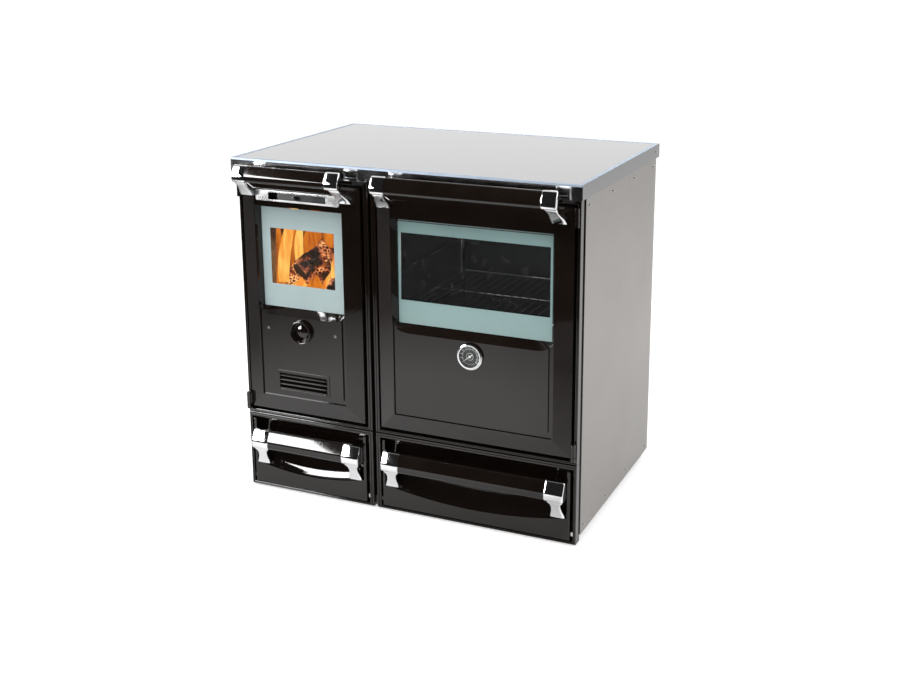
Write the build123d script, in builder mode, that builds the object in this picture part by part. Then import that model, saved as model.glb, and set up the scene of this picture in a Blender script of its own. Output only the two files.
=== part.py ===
from build123d import *
from dataclasses import dataclass
from math import asin, copysign, cos, degrees, radians, sin
import os

os.makedirs("parts", exist_ok=True)

# Free-standing wood cookstove: a firebox door and an oven door above two drawers, under a glass worktop.
# Millimetres, +Z up, the front faces -Y. The origin is at the middle of the footprint, on the floor.

# ---------------------------------------------------------------- driving dimensions
# Worktop
overall_height = 850.0
worktop_width = 890.0
worktop_depth = 600.0
worktop_thickness = 34.0
side_overhang = 8.0  # worktop edge beyond the front frames, at each side
front_overhang = 16.0  # worktop edge ahead of the front frames
rear_overhang = 5.0  # worktop edge behind the side panels
handle_reach = 60.0  # front of the door handles ahead of the worktop edge
trim_wall = 3.0
trim_flange = 10.0  # polished flange that shows round the glass
trim_flange_thickness = 2.0
trim_return = 30.0  # flange turned in under the worktop
glass_ledge = 14.0
worktop_glass_thickness = 6.0
trim_corner_block = 22.0  # plain stretch of the trim's front edge at each corner
trim_step_depth = 1.2

# Front frames
frame_depth = 27.0
left_unit_width = 352.0
unit_gap = 8.0
outer_limb = 7.5
inner_limb = 12.0
door_frame_bottom_limb = 8.0
door_frame_top_limb = 10.0
drawer_frame_bottom_limb = 7.0
drawer_frame_top_limb = 12.5
drawer_frame_height = 196.5
frame_joint = 1.0
worktop_gap = 3.0
foot_clearance = 3.0
bead_radius = 2.0
bead_groove = 1.6

# Carcass
angle_wall = 3.0
rail_leg = 30.0
rail_flange = 20.0
post_leg = 15.0
post_side_leg = 30.0
weld_gap = 0.3  # left for the weld at each end of the rear bar
carcass_floor = 20.0  # underside of the angle frame
middle_post_width = 30.0
cross_bar_height = 14.0
panel_thickness = 1.5
panel_bottom = 18.0
panel_return = 14.0
panel_fold = 22.0  # width of the slightly folded strip at a side panel's back edge
panel_fold_set = 0.8
back_recess = 44.0  # back panel ahead of the side panels' back edges
screw_radius = 2.0
screw_head_radius = 4.0
screw_head_height = 1.8
screw_clearance = 0.1
panel_screw_inset = 24.0
panel_screw_height = 14.0  # lower row above the carcass floor
panel_screw_drop = 21.0  # upper row below the carcass top
trim_screw_inset = 30.0
foot_inset = 62.0
foot_radius = 20.0
foot_stem_radius = 5.0
foot_pad_height = 8.0
foot_plate_thickness = 4.0

# Doors
leaf_gap_hinge = 5.5
leaf_gap_free = 6.5
leaf_gap_top = 6.0
leaf_gap_bottom = 9.0
leaf_edge_set = 3.0  # leaf's outer edge ahead of the frame
ridge_set = 17.0  # ridge and lower panel ahead of the frame
leaf_back_set = 12.0  # leaf's back behind the frame's front plane
bevel_width = 40.0
top_bevel = 16.0
ridge_rounding = 3.0
glass_set = 2.0  # glass behind the frame's front plane
glass_thickness = 4.0
glass_margin = 8.0  # glass beyond the visible opening, all round
panel_groove_depth = 4.0
panel_corner = 9.0
leaf_wall = 5.0
belly_set = 1.0  # floor of the hollow in a leaf's back, behind the frame's front plane
rim_wall = 6.0
window_wall = 7.0
liner_thickness = 2.0
liner_inset = 8.0
gasket_inset = 13.0
gasket_width = 10.0
gasket_gap = 0.3
window_fall = 312.0  # visible lower edge of the panes below the leaf's top
fire_window_drop = 63.0  # visible upper edge of the firebox pane below the leaf's top
oven_window_drop = 67.0
lip_run = 45.0  # length of the curved rise at each end of the window's lip
clip_width = 22.0
clip_lap = 6.0  # reach of a clip over the pane

# Hinges
hinge_set = 8.0  # hinge axis ahead of the frame
hinge_inset = 6.5  # hinge axis inside the frame's outer side
knuckle_radius = 5.5
knuckle_height = 32.0
hinge_pin_radius = 2.5
hinge_pin_clearance = 0.05
hinge_lug_height = 10.0
hinge_end_gap = 0.3

# Handles
bar_height = 37.0
bar_depth = 24.0
bar_corner = 11.0
cap_wall = 1.4
cap_socket = 15.0
socket_clearance = 0.1
door_bar_rise = 10.0  # door handle bar's centre above the door frame's top
door_cap_length = 35.0
door_cap_inset = 36.5  # cap centre from the leaf's side edge
door_foot_inset = 23.0
drawer_bar_set = 25.0  # drawer bar's centre ahead of the frame
drawer_bar_height = 49.0  # drawer bar's centre below the drawer front's top edge
drawer_cap_length = 46.0
drawer_cap_inset = 31.0
drawer_foot_inset = 24.0

# Drawers
drawer_gap_side = 6.5
drawer_gap_top = 4.0
drawer_gap_bottom = 3.0
drawer_face_set = 3.0
drawer_slab = 11.0
drawer_rim = 7.0
scoop_depth = 31.0
scoop_wall = 5.0
scoop_end_wall = 4.0
left_smile_height = 37.0  # lowest point of the scoop's edge above the front's lower edge
left_smile_sag = 19.0
right_smile_height = 31.0
right_smile_sag = 24.0
drawer_sheet = 2.0
drawer_box_length = 440.0
drawer_box_height = 106.0
drawer_side_play = 14.0  # box side inside the front's side edge
runner_thickness = 3.0
runner_height = 30.0
runner_top = 56.0
slide_gap = 0.3

# Firebox
casing_wall = 4.0
face_plate = 3.0
firebox_front_margin = 24.0
mouth_sill = 0.5  # edge of the firebox mouth above the firebox floor
firebox_depth = 450.0
firebox_side_set = 14.0
ledge_rise = 229.0  # grate ledge above the firebox floor
ledge_width = 44.0
ledge_thickness = 6.0
brick_thickness = 25.0
smoke_space = 85.0  # brick tops below the top of the face plates
grate_thickness = 16.0
grate_gap = 3.0
grate_bar = 12.0
baffle_thickness = 10.0
baffle_front_gap = 120.0
ash_pan_height = 62.0
ash_pan_inset = 22.0
ash_pan_wall = 2.0

# Oven
oven_wall = 3.0
oven_cavity_half = 218.0
oven_rise = 147.0  # oven floor above the bottom of the face plates
duct_room = 50.0  # oven roof below the top of the face plates
oven_depth = 413.0
oven_bearer = 15.0
rack_rise = 158.0  # lowest rack position above the oven floor
rack_rod = 2.5
rack_wire = 1.5
rack_wires = 17
rack_side_gap = 8.0
rack_depth = 370.0
runner_rod = 3.0
runner_levels = 3
top_runner_room = 35.0  # highest rack position below the oven roof
flue_radius = 75.0
flue_wall = 5.0
flue_length = 40.0
flue_flange = 16.0
flue_drop = 104.0  # flue axis below the top of the smoke duct
flue_sheet_gap = 1.5  # holes behind the collar are this much wider all round
duct_wall = 2.0
duct_drop = 1.0  # top of the smoke duct below the top of the face plates
duct_lap = 10.0  # duct beyond the firebox outlet, front and back
post_clearance = 4.0  # duct behind the middle post
duct_chamber_width = 210.0

# Controls
air_knob_radius = 30.0
air_cup_radius = 25.5
air_cup_clearance = 0.8
shaft_radius = 4.0
shaft_clearance = 0.08
shutter_radius = 32.0
shutter_gap = 4.0  # between the shutter and the wall round the pane
shutter_thickness = 2.0
shutter_port_radius = 8.0
shutter_port_pitch = 19.0
air_plate_width = 228.0
air_plate_height = 26.0
air_plate_thickness = 1.5
air_plate_gap = 3.0  # below the upper ridge of the leaf
air_slot_width = 156.0
air_slot_height = 17.0
slider_width = 135.0
slider_height = 20.0
slider_thickness = 1.5
slider_pocket = 2.4
slider_gap = 0.3
slider_offset = 13.5  # slide plate's centre to the right of the slot's centre
slider_knob_radius = 5.0
slider_close = 23.0  # travel that shuts the port
slider_open = 18.0  # travel that opens it fully
grille_width = 146.0
grille_height = 55.0
grille_rise = 6.5  # above the edge of the lower panel
grille_border = 5.0
grille_bars = 4
door_screw_spacing = 186.0
bezel_radius = 31.0
bezel_gap = 3.0  # between the bezel and the lip of the window
bezel_depth = 9.0
dial_radius = 27.0
dial_thickness = 0.8
lens_thickness = 1.2
probe_length = 40.0
needle_length = 20.0
needle_tail = 9.0
needle_rest = 128.0  # degrees anticlockwise from the top of the dial

# ---------------------------------------------------------------- shared planes and edges
half_depth = (worktop_depth + handle_reach) / 2
worktop_front = handle_reach - half_depth
worktop_back = half_depth
face = worktop_front + front_overhang  # front plane of the door and drawer frames
inside = face + frame_depth  # back of the frames, front of the carcass
body_top = overall_height - worktop_thickness
body_half = worktop_width / 2 - side_overhang
panel_half = body_half + 1.0 + panel_thickness  # outer face of a side panel
carcass_half = panel_half - panel_thickness
panel_back = worktop_back - rear_overhang
carcass_back = panel_back - panel_thickness
back_plane = panel_back - back_recess

left_unit = (-body_half, -body_half + left_unit_width)
right_unit = (left_unit[1] + unit_gap, body_half)
drawer_frame_z = (foot_clearance, foot_clearance + drawer_frame_height)
door_frame_z = (drawer_frame_z[1] + frame_joint, body_top - worktop_gap)
leaf_z = (door_frame_z[0] + door_frame_bottom_limb + leaf_gap_bottom,
          door_frame_z[1] - door_frame_top_limb - leaf_gap_top)
fire_leaf_x = (left_unit[0] + outer_limb + leaf_gap_hinge, left_unit[1] - inner_limb - leaf_gap_free)
oven_leaf_x = (right_unit[0] + inner_limb + leaf_gap_free, right_unit[1] - outer_limb - leaf_gap_hinge)
middle_post_x = (left_unit[1] - inner_limb + 1.0, right_unit[0] + inner_limb - 1.0)
front_z = (drawer_frame_z[0] + drawer_frame_bottom_limb + drawer_gap_bottom,
           drawer_frame_z[1] - drawer_frame_top_limb - drawer_gap_top)
left_front_x = (left_unit[0] + outer_limb + drawer_gap_side, left_unit[1] - inner_limb - drawer_gap_side)
right_front_x = (right_unit[0] + inner_limb + drawer_gap_side, right_unit[1] - outer_limb - drawer_gap_side)

edge_plane = face - leaf_edge_set
ridge_plane = face - ridge_set
leaf_back = face + leaf_back_set
glass_plane = face + glass_set
cross_bar_z = (door_frame_z[0] + 2.5 - cross_bar_height, door_frame_z[0] + 2.5)
plate_z = (cross_bar_z[1], body_top - rail_leg - 1.0)  # casing and oven face plates
ridge_z = (leaf_z[0] + bevel_width, leaf_z[1] - top_bevel)
glass_pane_bottom = leaf_z[1] - window_fall
air_knob_height = glass_pane_bottom - glass_margin - window_wall - shutter_gap - shutter_radius
air_plate_centre = ridge_z[1] - air_plate_gap - air_plate_height / 2


def middle(limits):
    """Point halfway between two limits."""
    return (limits[0] + limits[1]) / 2


def width(limits):
    """Distance between two limits."""
    return limits[1] - limits[0]


def grow(limits, amount):
    """Limits moved apart by an amount at each end."""
    return (limits[0] - amount, limits[1] + amount)


def about(centre, size):
    """Limits of a size centred on a point."""
    return (centre - size / 2, centre + size / 2)


def strip(limits, side, reach):
    """Limits of a strip of a given reach inside the low (0) or the high (1) one of two limits."""
    return (limits[0], limits[0] + reach) if side == 0 else (limits[1] - reach, limits[1])


def upright(y):
    """Upright plane that faces the front: its sketches read x and z, and extrude towards the front."""
    return Plane(origin=(0, y, 0), x_dir=(1, 0, 0), z_dir=(0, -1, 0))


def cell(across, along, mode=Mode.ADD, corner=0.0):
    """Rectangle between two pairs of limits, in the sketch being drawn."""
    with Locations((middle(across), middle(along))):
        if corner > 0:
            RectangleRounded(width(across), width(along), corner, mode=mode)
        else:
            Rectangle(width(across), width(along), mode=mode)


def block(x, y, z, mode=Mode.ADD):
    """Box between three pairs of limits, in the part being built."""
    with Locations((x[0], y[0], z[0])):
        Box(width(x), width(y), width(z), align=(Align.MIN, Align.MIN, Align.MIN), mode=mode)


def hoop(x, y, z, reach, mode=Mode.ADD):
    """Level rectangular ring: reach gives its outer and inner distance inside the outline."""
    with BuildSketch(Plane.XY.offset(z[0])) as ring:
        cell(grow(x, -reach[0]), grow(y, -reach[0]))
        cell(grow(x, -reach[1]), grow(y, -reach[1]), Mode.SUBTRACT)
    extrude(ring.sketch, amount=width(z), mode=mode)


def pin(start, end, radius, mode=Mode.ADD):
    """Round bar from one point to another, in the part being built."""
    way = Vector(*end) - Vector(*start)
    with BuildSketch(Plane(origin=start, z_dir=way)) as disc:
        Circle(radius)
    extrude(disc.sketch, amount=way.length, mode=mode)


def sheet_cut(y, depth, across, along, corner=0.0):
    """Opening cut into the part being built, from depth y towards the back."""
    with BuildSketch(upright(y)) as opening:
        cell(across, along, corner=corner)
    extrude(opening.sketch, amount=-depth, mode=Mode.SUBTRACT)


# ---------------------------------------------------------------- worktop
worktop_x = about(0, worktop_width)
worktop_y = (worktop_front, worktop_back)
trim_levels = (
    ((body_top, overall_height), (0, trim_wall)),
    ((overall_height - trim_flange_thickness, overall_height), (0, trim_flange)),
    ((overall_height - worktop_glass_thickness - trim_flange_thickness, overall_height),
     (trim_flange - trim_flange_thickness, trim_flange)),
    ((overall_height - worktop_glass_thickness - trim_flange_thickness,
      overall_height - worktop_glass_thickness),
     (trim_flange - trim_flange_thickness, trim_flange + glass_ledge)),
    ((body_top, body_top + trim_flange_thickness), (0, trim_return)),
)
trim_screw_y = worktop_back - trim_screw_inset
trim_screw_z = body_top + worktop_thickness / 2
with BuildPart() as worktop_frame:
    for level, reach in trim_levels:
        hoop(worktop_x, worktop_y, level, reach)
    with BuildSketch(Plane.YZ.offset(-worktop_width / 2 + trim_corner_block)) as steps:
        for rise in (3.5, 9.5):
            with Locations((worktop_front, body_top + rise)):
                Rectangle(2 * trim_step_depth, 3.0)
    extrude(steps.sketch, amount=worktop_width - 2 * trim_corner_block, mode=Mode.SUBTRACT)
    for side in (-1, 1):
        pin((side * worktop_width / 2, trim_screw_y, trim_screw_z),
            (side * (worktop_width / 2 - trim_wall), trim_screw_y, trim_screw_z),
            screw_radius + screw_clearance, Mode.SUBTRACT)
worktop_frame.part.label = "worktop_frame"
export_step(worktop_frame.part, "parts/worktop_frame.step")

with BuildPart() as worktop_glass:
    with BuildSketch(Plane.XY.offset(overall_height - worktop_glass_thickness)):
        cell(grow(worktop_x, -trim_flange - slide_gap), grow(worktop_y, -trim_flange - slide_gap))
    extrude(amount=worktop_glass_thickness - 0.2)
worktop_glass.part.label = "worktop_glass"
export_step(worktop_glass.part, "parts/worktop_glass.step")


# ---------------------------------------------------------------- front frames
def front_frame(x, z, limbs, bottom_limb, top_limb):
    """One unit's frame; its front edge carries two rounded beads with a groove between them."""
    with BuildPart() as frame:
        with BuildSketch(upright(face)):
            cell(x, z)
            cell((x[0] + limbs[0], x[1] - limbs[1]), (z[0] + bottom_limb, z[1] - top_limb), Mode.SUBTRACT)
        extrude(amount=-frame_depth)
        fillet(frame.faces().sort_by(Axis.Y)[0].edges(), radius=bead_radius)
        with BuildSketch(upright(face)):
            cell((x[0] + (limbs[0] - bead_groove) / 2, x[1] - (limbs[1] - bead_groove) / 2),
                 (z[0] + (bottom_limb - bead_groove) / 2, z[1] - (top_limb - bead_groove) / 2))
            cell((x[0] + (limbs[0] + bead_groove) / 2, x[1] - (limbs[1] + bead_groove) / 2),
                 (z[0] + (bottom_limb + bead_groove) / 2, z[1] - (top_limb + bead_groove) / 2), Mode.SUBTRACT)
        extrude(amount=-bead_groove, mode=Mode.SUBTRACT)
    return frame.part


with BuildPart() as firebox_door_frame:
    add(front_frame(left_unit, door_frame_z, (outer_limb, inner_limb), door_frame_bottom_limb,
                    door_frame_top_limb))
firebox_door_frame.part.label = "firebox_door_frame"
export_step(firebox_door_frame.part, "parts/firebox_door_frame.step")

with BuildPart() as oven_door_frame:
    add(front_frame(right_unit, door_frame_z, (inner_limb, outer_limb), door_frame_bottom_limb,
                    door_frame_top_limb))
oven_door_frame.part.label = "oven_door_frame"
export_step(oven_door_frame.part, "parts/oven_door_frame.step")

with BuildPart() as left_drawer_frame:
    add(front_frame(left_unit, drawer_frame_z, (outer_limb, inner_limb),
                    drawer_frame_bottom_limb, drawer_frame_top_limb))
left_drawer_frame.part.label = "left_drawer_frame"
export_step(left_drawer_frame.part, "parts/left_drawer_frame.step")

with BuildPart() as right_drawer_frame:
    add(front_frame(right_unit, drawer_frame_z, (inner_limb, outer_limb),
                    drawer_frame_bottom_limb, drawer_frame_top_limb))
right_drawer_frame.part.label = "right_drawer_frame"
export_step(right_drawer_frame.part, "parts/right_drawer_frame.step")

# ---------------------------------------------------------------- carcass of welded angle
carcass_x = about(0, 2 * carcass_half)
carcass_y = (inside, carcass_back)
panel_y = (inside - 1.0, panel_back)
panel_screw_span = width(panel_y) - 2 * panel_screw_inset
panel_screw_rows = [panel_y[0] + panel_screw_inset + panel_screw_span * step / 3 for step in range(4)]
panel_screw_levels = (carcass_floor + panel_screw_height, body_top - panel_screw_drop)
foot_x = carcass_half - foot_inset
foot_y = (carcass_y[0] + foot_inset, carcass_y[1] - foot_inset)
oven_centre = middle(oven_leaf_x)
oven_floor_z = plate_z[0] + oven_rise - oven_wall
frame_x = grow(carcass_x, -angle_wall)
carcass_z = (carcass_floor, body_top)
bar_y = strip(grow(carcass_y, -angle_wall), 0, rail_flange)
rear_bar_y = (carcass_y[0] + firebox_depth - rail_flange, carcass_y[0] + firebox_depth)
rail_y = grow(carcass_y, -post_side_leg)
bay_x = ((carcass_x[0] + post_leg, middle_post_x[0]), (middle_post_x[1], carcass_x[1] - post_leg))
bearer_x = ((middle_post_x[1], middle_post_x[1] + rail_flange), strip(frame_x, 1, rail_flange))
bearer_z = (oven_floor_z - oven_bearer, oven_floor_z)


def panel_screw_holes(rows):
    """Holes for the side panels' screws, through both sides of the part being built."""
    for side_x in carcass_x:
        for screw_y in rows:
            for screw_z in panel_screw_levels:
                pin((side_x, screw_y, screw_z), (side_x - copysign(angle_wall, side_x), screw_y, screw_z),
                    screw_radius + screw_clearance, Mode.SUBTRACT)


with BuildPart() as carcass_rails:
    for level in (0, 1):
        leg_z = strip(carcass_z, level, rail_leg)
        flange_z = strip(carcass_z, level, angle_wall)
        for side in (0, 1):
            for bay in bay_x:
                block(bay, strip(carcass_y, side, angle_wall), leg_z)
                block(bay, strip(carcass_y, side, rail_flange), flange_z)
            block(strip(carcass_x, side, angle_wall), rail_y, leg_z)
            block(strip(carcass_x, side, rail_flange), rail_y, flange_z)
    # bars under the firebox, bars between the side posts and two bearers under the oven
    block((frame_x[0], middle_post_x[0]), bar_y, cross_bar_z)
    block((middle_post_x[1], frame_x[1]), bar_y, cross_bar_z)
    block(grow(frame_x, -weld_gap), rear_bar_y, cross_bar_z)
    for side in (0, 1):
        block(strip(carcass_x, side, angle_wall), rail_y, cross_bar_z)
        block(bearer_x[side], (bar_y[0], back_plane), bearer_z)
        plate_x = strip(carcass_x, side, foot_inset + foot_radius)
        stem_x = (-foot_x, foot_x)[side]
        for pad_y in foot_y:
            block(plate_x, about(pad_y, 2 * foot_radius),
                  (carcass_floor, carcass_floor + foot_plate_thickness))
            pin((stem_x, pad_y, carcass_floor), (stem_x, pad_y, carcass_floor + foot_plate_thickness),
                foot_stem_radius + screw_clearance, Mode.SUBTRACT)
    panel_screw_holes(panel_screw_rows[1:-1])
carcass_rails.part.label = "carcass_rails"
export_step(carcass_rails.part, "parts/carcass_rails.step")

with BuildPart() as carcass_posts:
    for end in (0, 1):
        for side in (0, 1):
            block(strip(carcass_x, side, post_leg), strip(carcass_y, end, angle_wall), carcass_z)
            block(strip(carcass_x, side, angle_wall), strip(carcass_y, end, post_side_leg), carcass_z)
        post_y = strip(carcass_y, end, middle_post_width)
        block(middle_post_x, post_y, carcass_z)
        block(grow(middle_post_x, -angle_wall), grow(post_y, -angle_wall), carcass_z, Mode.SUBTRACT)
        block(bearer_x[end], rear_bar_y, (cross_bar_z[1], bearer_z[0]))
    panel_screw_holes((panel_screw_rows[0], panel_screw_rows[-1]))
carcass_posts.part.label = "carcass_posts"
export_step(carcass_posts.part, "parts/carcass_posts.step")

with BuildPart() as levelling_feet:
    for side in (-1, 1):
        for pad_y in foot_y:
            with BuildSketch(Plane.XZ.offset(-pad_y)) as foot_profile:
                with BuildLine():
                    Polyline((side * foot_x, 0), (side * foot_x + foot_radius, 0),
                             (side * foot_x + foot_radius, foot_pad_height - 3),
                             (side * foot_x + foot_stem_radius + 3, foot_pad_height),
                             (side * foot_x + foot_stem_radius + 3, carcass_floor),
                             (side * foot_x + foot_stem_radius, carcass_floor),
                             (side * foot_x + foot_stem_radius, carcass_floor + rail_leg),
                             (side * foot_x, carcass_floor + rail_leg), close=True)
                make_face()
            revolve(foot_profile.sketch, axis=Axis((side * foot_x, pad_y, 0), (0, 0, 1)))
levelling_feet.part.label = "levelling_feet"
export_step(levelling_feet.part, "parts/levelling_feet.step")

# Side panels: flat sheet, a shallow fold near the back edge and a return behind the carcass.
with BuildPart() as right_side_panel:
    with BuildSketch(Plane.XY.offset(panel_bottom)) as outline:
        with BuildLine():
            Polyline((carcass_half, panel_y[0]), (panel_half, panel_y[0]),
                     (panel_half, panel_back - panel_fold),
                     (panel_half - panel_fold_set, panel_back), (carcass_half - panel_return, panel_back),
                     (carcass_half - panel_return, carcass_back), (carcass_half, carcass_back), close=True)
        make_face()
    extrude(outline.sketch, amount=body_top - worktop_gap / 3 - panel_bottom)
    for screw_y in panel_screw_rows:
        for screw_z in panel_screw_levels:
            pin((carcass_half, screw_y, screw_z), (panel_half, screw_y, screw_z),
                screw_radius + screw_clearance, Mode.SUBTRACT)
right_side_panel.part.label = "right_side_panel"
export_step(right_side_panel.part, "parts/right_side_panel.step")

with BuildPart() as left_side_panel:
    mirror(right_side_panel.part, about=Plane.YZ)
left_side_panel.part.label = "left_side_panel"
export_step(left_side_panel.part, "parts/left_side_panel.step")


def screw(head, way, grip):
    """Domed screw, in the part being built: head is its seat, way points out of it, grip is its shank."""
    seat = Vector(*head)
    out = Vector(*way)
    tip = seat - out * grip
    pin(tuple(tip), tuple(seat), screw_radius)
    with BuildSketch(Plane(origin=seat, z_dir=out)) as rim:
        Circle(screw_head_radius)
    extrude(rim.sketch, amount=screw_head_height, taper=30)


with BuildPart() as panel_screws:
    for side in (-1, 1):
        for screw_y in panel_screw_rows:
            for screw_z in panel_screw_levels:
                fold = max(0.0, screw_y - (panel_back - panel_fold)) * panel_fold_set / panel_fold
                screw((side * (panel_half - fold), screw_y, screw_z), (side, 0, 0),
                      panel_thickness + angle_wall + 4)
        screw((side * worktop_width / 2, trim_screw_y, trim_screw_z), (side, 0, 0), trim_wall + 2)
panel_screws.part.label = "panel_screws"
export_step(panel_screws.part, "parts/panel_screws.step")


# ---------------------------------------------------------------- door leaves
@dataclass(frozen=True)
class Leaf:
    """One door: its side edges, the visible pane, the lip's fall and the groove round its lower panel."""

    x: tuple
    pane_edge: float
    recess_run: float
    pane_top: float
    lip_fall: float
    lip_end_rise: float
    groove: float

    @property
    def centre(self):
        return middle(self.x)

    @property
    def ridge_x(self):
        return grow(self.x, -bevel_width)

    @property
    def pane_x(self):
        return grow(self.x, -self.pane_edge)

    @property
    def pane_half(self):
        return width(self.pane_x) / 2


fire_leaf = Leaf(x=fire_leaf_x, pane_edge=46.75, recess_run=5.5, pane_top=leaf_z[1] - fire_window_drop,
                 lip_fall=16.0, lip_end_rise=2.0, groove=10.0)
oven_leaf = Leaf(x=oven_leaf_x, pane_edge=49.75, recess_run=8.0, pane_top=leaf_z[1] - oven_window_drop,
                 lip_fall=18.0, lip_end_rise=4.0, groove=12.0)


def lip_outline(leaf, y, half, base, fall, top):
    """Window outline at depth y: straight sides and top, and a lower edge that falls between two curved ends."""
    start = half - lip_run
    with BuildSketch(upright(y)) as outline:
        with BuildLine():
            if fall > 0:
                EllipticalCenterArc((leaf.centre + start, base), lip_run, fall, 270, arc_size=90)
                Line((leaf.centre - start, base - fall), (leaf.centre + start, base - fall))
                EllipticalCenterArc((leaf.centre - start, base), lip_run, fall, 180, arc_size=90)
            else:
                Line((leaf.centre + half, base), (leaf.centre + start, base))
                Line((leaf.centre - start, base), (leaf.centre + start, base))
                Line((leaf.centre - start, base), (leaf.centre - half, base))
            Line((leaf.centre - half, base), (leaf.centre - half, top))
            Line((leaf.centre - half, top), (leaf.centre + half, top))
            Line((leaf.centre + half, top), (leaf.centre + half, base))
        make_face()
    return outline.sketch


def door_leaf(leaf):
    """Door leaf: bevelled border, recessed window with a curved lip, and a lower panel inside a groove."""
    panel_z = (ridge_z[0] + leaf.groove, glass_pane_bottom)
    panel_x = grow(leaf.ridge_x, -leaf.groove)
    with BuildPart() as panel:
        with BuildSketch(upright(leaf_back)):
            cell(leaf.x, leaf_z)
        extrude(amount=leaf_back - edge_plane)
        with BuildSketch(upright(edge_plane)) as foot_of_bevel:
            cell(leaf.x, leaf_z)
        with BuildSketch(upright(ridge_plane)) as ridge:
            cell(leaf.ridge_x, ridge_z)
        loft([foot_of_bevel.sketch, ridge.sketch], ruled=True)
        front_edges = panel.faces().sort_by(Axis.Y)[0].edges()
        corner_edges = panel.edges().filter_by(lambda edge: edge_plane - 1 > edge.center().Y > ridge_plane + 1)
        fillet(front_edges + corner_edges, radius=ridge_rounding)
        # groove round the lower panel, up to the window
        with BuildSketch(upright(ridge_plane)) as groove:
            cell(grow(leaf.ridge_x, -ridge_rounding), (ridge_z[0] + ridge_rounding, glass_pane_bottom + 2))
            cell(panel_x, (panel_z[0], panel_z[1] + 40), Mode.SUBTRACT, corner=panel_corner)
        extrude(groove.sketch, amount=-panel_groove_depth, mode=Mode.SUBTRACT)
        # window recess with its lip, then the pane's rebate from behind
        half = leaf.pane_half + leaf.recess_run
        mouth = lip_outline(leaf, ridge_plane, half, glass_pane_bottom + leaf.lip_end_rise,
                            leaf.lip_fall + leaf.lip_end_rise, leaf.pane_top + leaf.recess_run)
        throat = lip_outline(leaf, glass_plane, leaf.pane_half, glass_pane_bottom, 0, leaf.pane_top)
        loft([mouth, throat], ruled=True, mode=Mode.SUBTRACT)
        sheet_cut(glass_plane, leaf_back - glass_plane, grow(leaf.pane_x, glass_margin),
                  (glass_pane_bottom - glass_margin, leaf.pane_top + glass_margin))
        # hollows in the back
        rebate_x = grow(leaf.pane_x, glass_margin + window_wall)
        rebate_z = (glass_pane_bottom - glass_margin - window_wall,
                    leaf.pane_top + glass_margin + window_wall)
        with BuildSketch(upright(leaf_back)) as channel:
            cell(grow(leaf.x, -rim_wall), grow(leaf_z, -rim_wall))
            cell(rebate_x, rebate_z, Mode.SUBTRACT)
        extrude(channel.sketch, amount=leaf_back - face - belly_set, mode=Mode.SUBTRACT)
        with BuildSketch(upright(face + belly_set)) as belly:
            cell(grow(panel_x, -leaf_wall), (panel_z[0] + leaf_wall,
                                             glass_pane_bottom - leaf.lip_fall - 2 * leaf_wall))
        extrude(belly.sketch, amount=ridge_set - leaf_wall + belly_set, mode=Mode.SUBTRACT)
    return panel.part


def hinge_x(side):
    """Hinge axis of the door whose hinges are on the left (-1) or the right (1)."""
    return side * (body_half - hinge_inset)


hinge_y = face - hinge_set
knuckle_floors = (leaf_z[0] + 4.0, leaf_z[1] - knuckle_height)


def hinge_knuckles(side, leaf_edge):
    """A door's two hinge barrels with the short webs that join them to the leaf's edge."""
    with BuildPart() as knuckles:
        for floor in knuckle_floors:
            z = (floor, floor + knuckle_height)
            pin((hinge_x(side), hinge_y, z[0]), (hinge_x(side), hinge_y, z[1]), knuckle_radius)
            fillet(knuckles.edges(Select.LAST).filter_by(GeomType.CIRCLE), radius=1.0)
            with BuildSketch(Plane.XY.offset(z[0] + 3.0)) as web:
                with BuildLine():
                    Polyline((hinge_x(side), hinge_y - 1.5), (leaf_edge, hinge_y + 2.0),
                             (leaf_edge, face + 4.0),
                             (leaf_edge + side * 4.0, face + 2.5), (leaf_edge + side * 4.0, hinge_y + 4.0),
                             (hinge_x(side), hinge_y + 3.0), close=True)
                make_face()
            extrude(web.sketch, amount=knuckle_height - 6.0)
            pin((hinge_x(side), hinge_y, z[0]), (hinge_x(side), hinge_y, z[1]),
                hinge_pin_radius + hinge_pin_clearance, Mode.SUBTRACT)
    return knuckles.part


with BuildPart() as hinge_brackets:
    for side in (-1, 1):
        for floor in knuckle_floors:
            lug_z = (floor - hinge_end_gap - hinge_lug_height, floor - hinge_end_gap)
            pin((hinge_x(side), hinge_y, lug_z[0]), (hinge_x(side), hinge_y, lug_z[1]), knuckle_radius)
            block(about(hinge_x(side), knuckle_radius), (hinge_y, face), lug_z)
            pin((hinge_x(side), hinge_y, lug_z[1]), (hinge_x(side), hinge_y, floor + knuckle_height - 3.0),
                hinge_pin_radius)
hinge_brackets.part.label = "hinge_brackets"
export_step(hinge_brackets.part, "parts/hinge_brackets.step")

air_axis_x = fire_leaf.centre
slot_x = about(air_axis_x, air_slot_width)
air_plate_z = about(air_plate_centre, air_plate_height)
slider_x = about(air_axis_x + slider_offset, slider_width)
port_x = (slider_x[0] - slider_close, slider_x[0] + slider_open)
pocket_x = (port_x[0] - slider_knob_radius, slider_x[1] + slider_close)
pocket_z = about(air_plate_centre, slider_height + 1.0)
grille_x = about(air_axis_x, grille_width)
grille_bottom = ridge_z[0] + fire_leaf.groove + grille_rise
grille_z = (grille_bottom, grille_bottom + grille_height)
door_screw_x = (air_axis_x - door_screw_spacing / 2, air_axis_x + door_screw_spacing / 2)

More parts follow.
